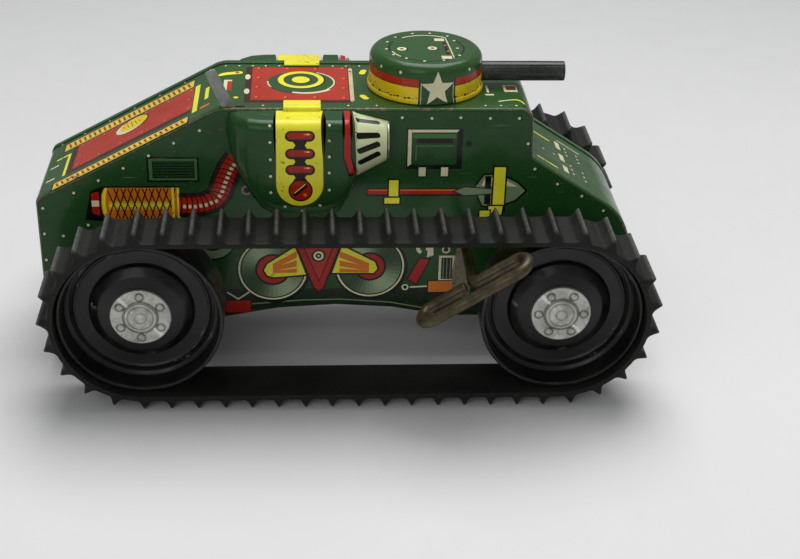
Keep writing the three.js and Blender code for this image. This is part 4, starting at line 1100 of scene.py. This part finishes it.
def turret_wall():
    left, right, bottom = -180 * WALL_SCALE, 180 * WALL_SCALE, CAN_RUN[-1]
    angles = [left + (right - left) * k / AROUND for k in range(AROUND + 1)]
    wall = Print([(a, bottom) for a in angles] + [(a, FLAT_TOP) for a in angles[::-1]], "green")
    drawn = Print([], "green")
    paint_turret_wall(drawn)
    for shape, ink in drawn.shapes[1:]:
        dense = []
        for a, b in zip(shape, [*shape[1:], shape[0]]):
            cuts = max(1, int(abs(a[0] - b[0]) / 5))
            dense += [(a[0] + (b[0] - a[0]) * k / cuts, a[1] + (b[1] - a[1]) * k / cuts) for k in range(cuts)]
        wall.fill(ink, [(max(left, min(right, x * WALL_SCALE)), can_height(z)) for x, z in dense])
    wall.fill(None, [  # the gun's hole
        (math.degrees(math.asin(y / WALL)) * WALL_SCALE, can_height(GUN_HEIGHT + z))
        for y, z in arc(0, 0, 4.25, 0, 348, 29)
    ])
    levels = {float(v) for v in CAN_RUN if v > FLAT_TOP} | {FLAT_TOP + 0.9, can_height(118), can_height(120.5)}
    wall.folds = [[(a, level) for a in angles] for level in sorted(levels) if FLAT_TOP < level < bottom]
    return wall.mesh(lambda flat: lift_can(np.radians(flat[:, 0] / WALL_SCALE), flat[:, 1]))


def build_turret():
    """The can's top and wall, printed flat on their own and then joined at their shared points."""
    (points_top, faces_top, inks_top), (points_wall, faces_wall, inks_wall) = turret_top(), turret_wall()
    keys, where, index = {}, [], []
    for p in np.vstack([points_top, points_wall]):
        key = tuple(np.round(p, 3) + 0.0)
        if key not in keys:
            keys[key] = len(where)
            where.append(p)
        index.append(keys[key])
    faces = [[index[i] for i in f] for f in faces_top]
    faces += [[index[i + len(points_top)] for i in f] for f in faces_wall]
    where, sound, inks = np.array(where), [], []
    for f, ink in zip(faces, [*inks_top, *inks_wall]):
        if len(set(f)) == 3:
            away = np.mean(where[f], axis=0) - np.array([TURRET_X, 0, 112])
            sound += looking(where, [f], away)
            inks.append(ink)
    build_tin("printed_turret", (where, sound, inks), ["turret_can"], body="turret")


def build_gun():
    """A tube rolled from sheet: its radius grows over one turn, which leaves the seam as a small step."""
    start, end, bore = 49.5, 85.7, 3.2
    angles = turns(72, math.radians(125))
    rolled = [3.78 + 0.22 * min(1, k / 70) for k in range(72)]
    rings = [(x, [r + swell for r in rolled]) for x, swell in (
        (start, -0.1), (start + 0.4, 0), (60, 0), (70, 0.02), (80, 0), (end - 0.5, 0), (end - 0.12, -0.08),
        (end, -0.25))]
    rings += [(x, [bore] * 72) for x in (end - 0.1, end - 0.6, start + 3)]
    points, faces = loft([
        [(x, r * math.cos(a), GUN_HEIGHT + r * math.sin(a)) for r, a in zip(radii, angles)]
        for x, radii in rings
    ])
    make("rolled_gun_tube", points, faces, "turret", ["gun_enamel"], ["gun_barrel"], sharp=30)


# ---- Tracks ----
def track_pose(distance, radius):
    """Point and outward direction along the loop, at a distance measured on the given radius."""
    arc_length = math.pi * radius
    straight = 2 * HALF_BASE
    if distance < straight:
        return HALF_BASE - distance, math.pi / 2
    if distance < straight + arc_length:
        return -HALF_BASE, math.pi / 2 + (distance - straight) / radius
    below = distance - straight - arc_length
    if below < straight:
        return below - HALF_BASE, -math.pi / 2
    return HALF_BASE, -math.pi / 2 + (below - straight) / radius


def build_track(side, mirror):
    pitch_radius = (TRACK_BAND[0] + TRACK_BAND[1]) / 2
    total = 4 * HALF_BASE + 2 * math.pi * pitch_radius
    low, high = TRACK_SIDES
    across = [low, low + 0.25, low + 0.7, low + 1.3, low + 2.0, 47, 51, 55, 59, 62, high - 2.4, high - 1.7,
              high - 1.0, high - 0.45, high - 0.12, high]
    steps = 22  # cross-sections a lug
    foot, crest_half = 3.3, 0.3  # half the lug's width where it meets the band, and at its crest
    loops, crest = [], []
    for i in range(LUGS * steps):
        x, angle = track_pose(i / steps * total / LUGS, pitch_radius)
        out = (math.cos(angle), math.sin(angle))
        off = abs(i / steps % 1.0 - 0.5) * total / LUGS
        rise = max(0.0, min(1.0, (foot - off) / (foot - crest_half)))
        rise = rise ** 1.9 * 0.8 + rise * 0.2
        loop, row = [], []
        for y in across:
            end = min(1.0, (high - y) / 1.5, (y - low) / 1.2)
            lug = LUG_HEIGHT * rise * max(0.0, end) ** 0.8
            edge = 0.22 * (1 - min(1.0, min(high - y, y - low) / 0.4))
            r = TRACK_BAND[1] + lug - edge
            loop.append((x + out[0] * r, -y, AXLE_HEIGHT + out[1] * r))
            row.append(lug / LUG_HEIGHT)
        for y in (high - 0.1, high - 0.6, 62, 55, 50, low + 0.6, low + 0.1):
            hollow = 0.18 * (1 - rise) * min(1.0, (high - y) / 2, (y - low) / 2)
            r = TRACK_BAND[0] + hollow + (0.2 if y in (high - 0.1, low + 0.1) else 0)
            loop.append((x + out[0] * r, -y, AXLE_HEIGHT + out[1] * r))
            row.append(0.0)
        loops.append(loop)
        crest += row
    points, faces = ring_skin(loops)
    make(f"{side}_rubber_track", points, faces, "chassis", ["old_rubber"], [f"{side}_track"],
         mirror=mirror, crest=crest, sharp=50)


# ---- Wheels ----
FACE_Y = 61.8


def turned(corners, steps):
    """A wheel's profile from (radius, depth behind its face, corner radius)."""
    return [(r, -FACE_Y + d) for r, d in rounded_path(corners, steps, closed=True)]


WHEEL_SHELL = turned([
    (2.6, 3.9, 0), (11.5, 3.9, 2), (16.5, 5.3, 4), (19.6, 7.6, 1.2), (20.2, 9.5, 0.8), (25.2, 9.6, 1),
    (26.0, 9.0, 0.5), (26.9, 9.5, 0.5), (28.6, 9.8, 1), (30.0, 8.6, 0.8), (30.15, 0.8, 0.3), (30.6, 0, 0.3),
    (31.6, 0.05, 0.4), (32, 0.9, 0.4), (32, 17.8, 0.2), (30.8, 18, 0.1), (30.8, 11.1, 0.5), (19.9, 10.6, 1),
    (15.8, 7.1, 3), (11.2, 5.3, 2), (2.6, 5.3, 0),
], 5)
WHEEL_BACK = turned([
    (2.6, 14, 0), (5, 14, 0.3), (5, 18.2, 0.5), (12, 18.3, 0.5), (14, 17.9, 0.8), (24, 17.9, 0.8),
    (26, 18.4, 0.5), (31.6, 18.4, 0.2), (31.6, 19.3, 0.3), (26, 19.2, 0.6), (24, 18.8, 0.8), (14, 18.8, 0.8), (12, 19.3, 0.5),
    (2.6, 19.3, 0),
], 4)


CAP_RADIUS, CAP_BACK = 12.0, 3.6
CAP_FLANGE, CAP_LIP, CAP_BOSS = 2.55, 11.3, 6.6  # the flange's depth, and the radii where lip and boss begin
BOLT_CIRCLE, BOLT = 8.9, 1.5


def cap_depth(r, angle, quarter):
    """Depth behind the rim of the pressed cap: flat flange, six domed bolts, a raised boss with two rings."""
    depth = CAP_FLANGE
    if r > CAP_LIP:
        depth += 0.9 * ((r - CAP_LIP) / 0.7) ** 2
    if r < CAP_BOSS:
        rise = min(1.0, (CAP_BOSS - r) / 0.7)
        depth -= 0.85 * rise * rise * (3 - 2 * rise)
    depth += 0.22 * math.exp(-(((r - 4.9) / 0.28) ** 2)) - 0.12 * math.exp(-(((r - 5.5) / 0.25) ** 2))
    depth += 0.16 * math.exp(-(((r - 2.2) / 0.3) ** 2)) - 0.25 * max(0.0, 1 - (r / 4.2) ** 2)
    for bx, bz in bolt_places(quarter):
        away = math.hypot(r * math.cos(angle) - bx, r * math.sin(angle) - bz)
        if away < BOLT:
            depth -= 0.75 * math.sqrt(1 - (away / BOLT) ** 2)
        elif away < BOLT + 0.5:
            depth += 0.10 * (1 - (away - BOLT) / 0.5)
    return depth


def bolt_places(quarter):
    angles = (quarter + k * math.pi / 3 for k in range(6))
    return [(BOLT_CIRCLE * math.cos(a), BOLT_CIRCLE * math.sin(a)) for a in angles]


def build_cap(side, end, x, quarter, mirror):
    around = 120
    radii = [*np.linspace(0.35, 6.2, 20), *np.linspace(6.35, 11.2, 28), 11.5, 11.75, 11.9, CAP_RADIUS]
    points = [(0, -FACE_Y + cap_depth(0, 0, quarter), 0)]
    for r in radii:
        for a in turns(around):
            points.append((r * math.cos(a), -FACE_Y + cap_depth(r, a, quarter), r * math.sin(a)))
    for r in (CAP_RADIUS, 4.0):
        points += [(r * math.cos(a), -FACE_Y + CAP_BACK, r * math.sin(a)) for a in turns(around)]
    points.append((0, -FACE_Y + CAP_BACK, 0))
    faces = [[0, 1 + k, 1 + (k + 1) % around] for k in range(around)]
    last = 1 + (len(radii) + 1) * around
    for first in range(1, last, around):
        for k in range(around):
            a, b = first + k, first + (k + 1) % around
            faces.append([a, a + around, b + around, b])
    faces += [[len(points) - 1, last + (k + 1) % around, last + k] for k in range(around)]
    p = np.array(points, float)
    faces = outward(p, faces)

    def ridge(away, width):
        return np.exp(-((away / width) ** 2))

    reach = np.hypot(p[:, 0], p[:, 2])
    # painted shade: the cap is darkened in its creases, round the boss, its rings, the bolts' feet and the
    # rolled lip, through the crest attribute
    dirt_and_shade = ridge(reach - 6.8, 0.35) + 0.7 * ridge(reach - 4.9, 0.3)
    dirt_and_shade += 0.6 * ridge(reach - 2.2, 0.25) + 0.8 * (reach > 11.6)
    for bx, bz in bolt_places(quarter):
        dirt_and_shade += 1.1 * ridge(np.hypot(p[:, 0] - bx, p[:, 2] - bz) - 1.62, 0.28)
    p += np.array([x, 0, AXLE_HEIGHT])
    make(f"{side}_{end}_pressed_cap", p, faces, f"{end}_axle_set", ["dull_plate"],
         [f"{side}_{end}_hub_cap"], mirror=mirror, crest=np.clip(dirt_and_shade, 0, 1), sharp=60)


def build_wheels():
    for end, x, quarter in (("front", HALF_BASE, 0.0), ("rear", -HALF_BASE, math.pi / 6)):
        for side, mirror in (("right", False), ("left", True)):
            for part, node, profile in (("shell", "wheel", WHEEL_SHELL), ("backing", "wheel_back", WHEEL_BACK)):
                points, faces = lathe(profile, 128)
                make(f"{side}_{end}_pressed_{part}", points + np.array([x, 0, AXLE_HEIGHT]), faces,
                     f"{end}_axle_set", ["wheel_enamel"], [f"{side}_{end}_{node}"],
                     mirror=mirror)
            build_cap(side, end, x, quarter, mirror)


# ---- Key and lever ----
def build_key():
    """One thick wire: the shaft, a bend, the inner run, round the loop, and back to stop beside the shaft."""
    half, inner, outer = 22.8, -70.7, -81.0  # the loop's middle lines
    shaft, wire, bend = 1.95, 2.3, 5.1  # radii
    path = rounded_path([(0, -24, 0), (0, inner, 2.6), (half, inner, bend), (half, outer, bend),
                         (-half, outer, bend), (-half, inner, bend), (-3.1, inner, 0)], 10)
    run = lengths(path)
    stops = np.unique(np.concatenate([run, np.arange(0, run[-1], 2.5), [run[-1] - 0.25, run[-1] - 0.7]]))
    ca, sa = math.cos(KEY_ANGLE), math.sin(KEY_ANGLE)
    loops = []
    for s in stops:
        point = along(path, run, np.array([s]))[0]
        ahead, behind = (along(path, run, np.array([np.clip(s + d, 0, run[-1])]))[0] for d in (0.3, -0.3))
        way = unit(ahead - behind)
        left = run[-1] - s
        r = shaft + (wire - shaft) * min(1.0, max(0.0, (s - 38) / 8)) - 0.35 * max(0.0, 1 - left / 0.5) ** 2
        r *= 1 + 0.018 * math.sin(s * 0.9) + 0.012 * math.sin(s * 0.37 + 1)
        ring = []
        for t in turns(28):
            across, over = r * math.cos(t), r * 0.97 * math.sin(t)
            x, y = point[0] - way[1] * across, point[1] + way[0] * across
            ring.append((KEY_X + x * ca - over * sa, y, KEY_Z + x * sa + over * ca))
        loops.append(ring)
    points, faces = loft(loops)
    make("bent_wire_key", points, faces, "winding_set", ["key_brass"], ["key_wings", "key_shaft"],
         sharp=50)


def eased_plate(outline, y_low, y_high, bevel):
    """A flat plate in XZ with its edges eased by rings of slightly smaller outlines."""
    shape, _, way = corner_ways(outline)
    inward = np.stack([-way[:, 1], way[:, 0]], 1)
    loops = []
    for y, shrink in ((y_low, bevel), (y_low + bevel * 0.35, bevel * 0.35), (y_low + bevel, 0),
                      (y_high - bevel, 0), (y_high - bevel * 0.35, bevel * 0.35), (y_high, bevel)):
        ring = shape + inward * shrink
        loops.append([(x, y, z) for x, z in ring])
    return loft(loops)


def build_lever():
    x, z, lean, length, half, corner = -42.0, 99.6, math.radians(24), 29.2, 2.05, 0.8
    up = np.array([-math.sin(lean), math.cos(lean)])
    across = np.array([math.cos(lean), math.sin(lean)])
    tip, soft = np.array([x, z]) + up * (length - corner), half - corner
    top = []
    for t in np.linspace(0, math.pi, 12):
        sideways = math.copysign(soft, math.cos(t)) + corner * math.cos(t)
        top.append(tuple(tip + across * sideways + up * corner * math.sin(t)))
    outline = [(x - half, z - 16), (x + half, z - 16), (x + 3, z), *top, (x - 3, z)]
    points, faces = eased_plate(outline, -24.4, -23.4, 0.22)
    make("flat_start_lever", points, faces, "lever", ["lever_steel"], ["start_stop_lever"],
         sharp=50)


# ---- Kept CAD nodes ----
KEPT = {
    "gear_brass": ["great_wheel", "second_wheel", "governor_fly"],
    "blued_spring": ["mainspring"],
}


def dress_kept():
    named = {node: material for material, nodes in KEPT.items() for node in nodes}
    for name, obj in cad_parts.items():
        if obj.hide_render:
            continue
        for place in obj.material_slots:
            place.material = MATERIALS[named.get(name, "steel")]
        obj.data.set_sharp_from_angle(angle=math.radians(32))


# ---- Studio ----
def build_studio():
    half, low = 4.0, -0.0004  # the floor is just under the tracks, so that no faces coincide
    mesh = bpy.data.meshes.new("floor")
    mesh.from_pydata([(-half, -half, low), (half, -half, low), (half, half, low), (-half, half, low)], [],
                     [(0, 1, 2, 3)])
    mesh.materials.append(MATERIALS["pale_floor"])
    floor = bpy.data.objects.new("floor", mesh)
    bpy.context.scene.collection.objects.link(floor)

    def lamp(name, at, aim, side, power):
        light = bpy.data.lights.new(name, "AREA")
        light.shape = "SQUARE"
        light.size = side
        light.energy = power
        obj = bpy.data.objects.new(name, light)
        obj.location = at
        obj.rotation_euler = (Vector(aim) - Vector(at)).to_track_quat("-Z", "Y").to_euler()
        bpy.context.scene.collection.objects.link(obj)

    lamp("softbox", (0.14, 0.40, 1.25), (0, 0.02, 0.04), 1.0, 15.5)
    lamp("fill", (-0.5, -1.3, 0.9), (0, 0, 0.05), 0.9, 3.6)
    world = bpy.data.worlds.new("studio")
    world.use_nodes = True
    sky = world.node_tree.nodes["Background"].inputs
    sky["Color"].default_value = (0.95, 0.98, 1.0, 1)
    sky["Strength"].default_value = 0.26
    bpy.context.scene.world = world
    bpy.context.scene.view_settings.view_transform = "Standard"


CAMERA_AT = (-0.017085, -0.55252, 0.33104)
CAMERA_TURN = (-4.14, 28.71, 1.62)  # yaw, pitch and roll in degrees, fitted to the photograph


def build_camera():
    yaw, pitch, roll = (math.radians(a) for a in CAMERA_TURN)
    ahead = Vector((-math.sin(yaw) * math.cos(pitch), math.cos(yaw) * math.cos(pitch), -math.sin(pitch)))
    right = Vector((math.cos(yaw), math.sin(yaw), 0))
    up = right.cross(ahead)
    side = right * math.cos(roll) + up * math.sin(roll)
    top = up * math.cos(roll) - right * math.sin(roll)
    data = bpy.data.cameras.new("camera")
    data.lens = 67.5
    data.sensor_width = 36
    data.sensor_fit = "HORIZONTAL"
    data.clip_start = 0.01
    camera = bpy.data.objects.new("camera", data)
    turn = Matrix((side, top, -ahead)).transposed().to_4x4()
    camera.matrix_world = Matrix.Translation(CAMERA_AT) @ turn
    bpy.context.scene.collection.objects.link(camera)
    bpy.context.scene.camera = camera


build_deck()
for which, flipped in (("right", False), ("left", True)):
    build_side(which, flipped)
    build_sponson(which, flipped)
    build_lock_tab(which, flipped)
    build_track(which, flipped)
build_hem()
build_turret()
build_gun()
build_wheels()
build_key()
build_lever()
dress_kept()
build_studio()
build_camera()
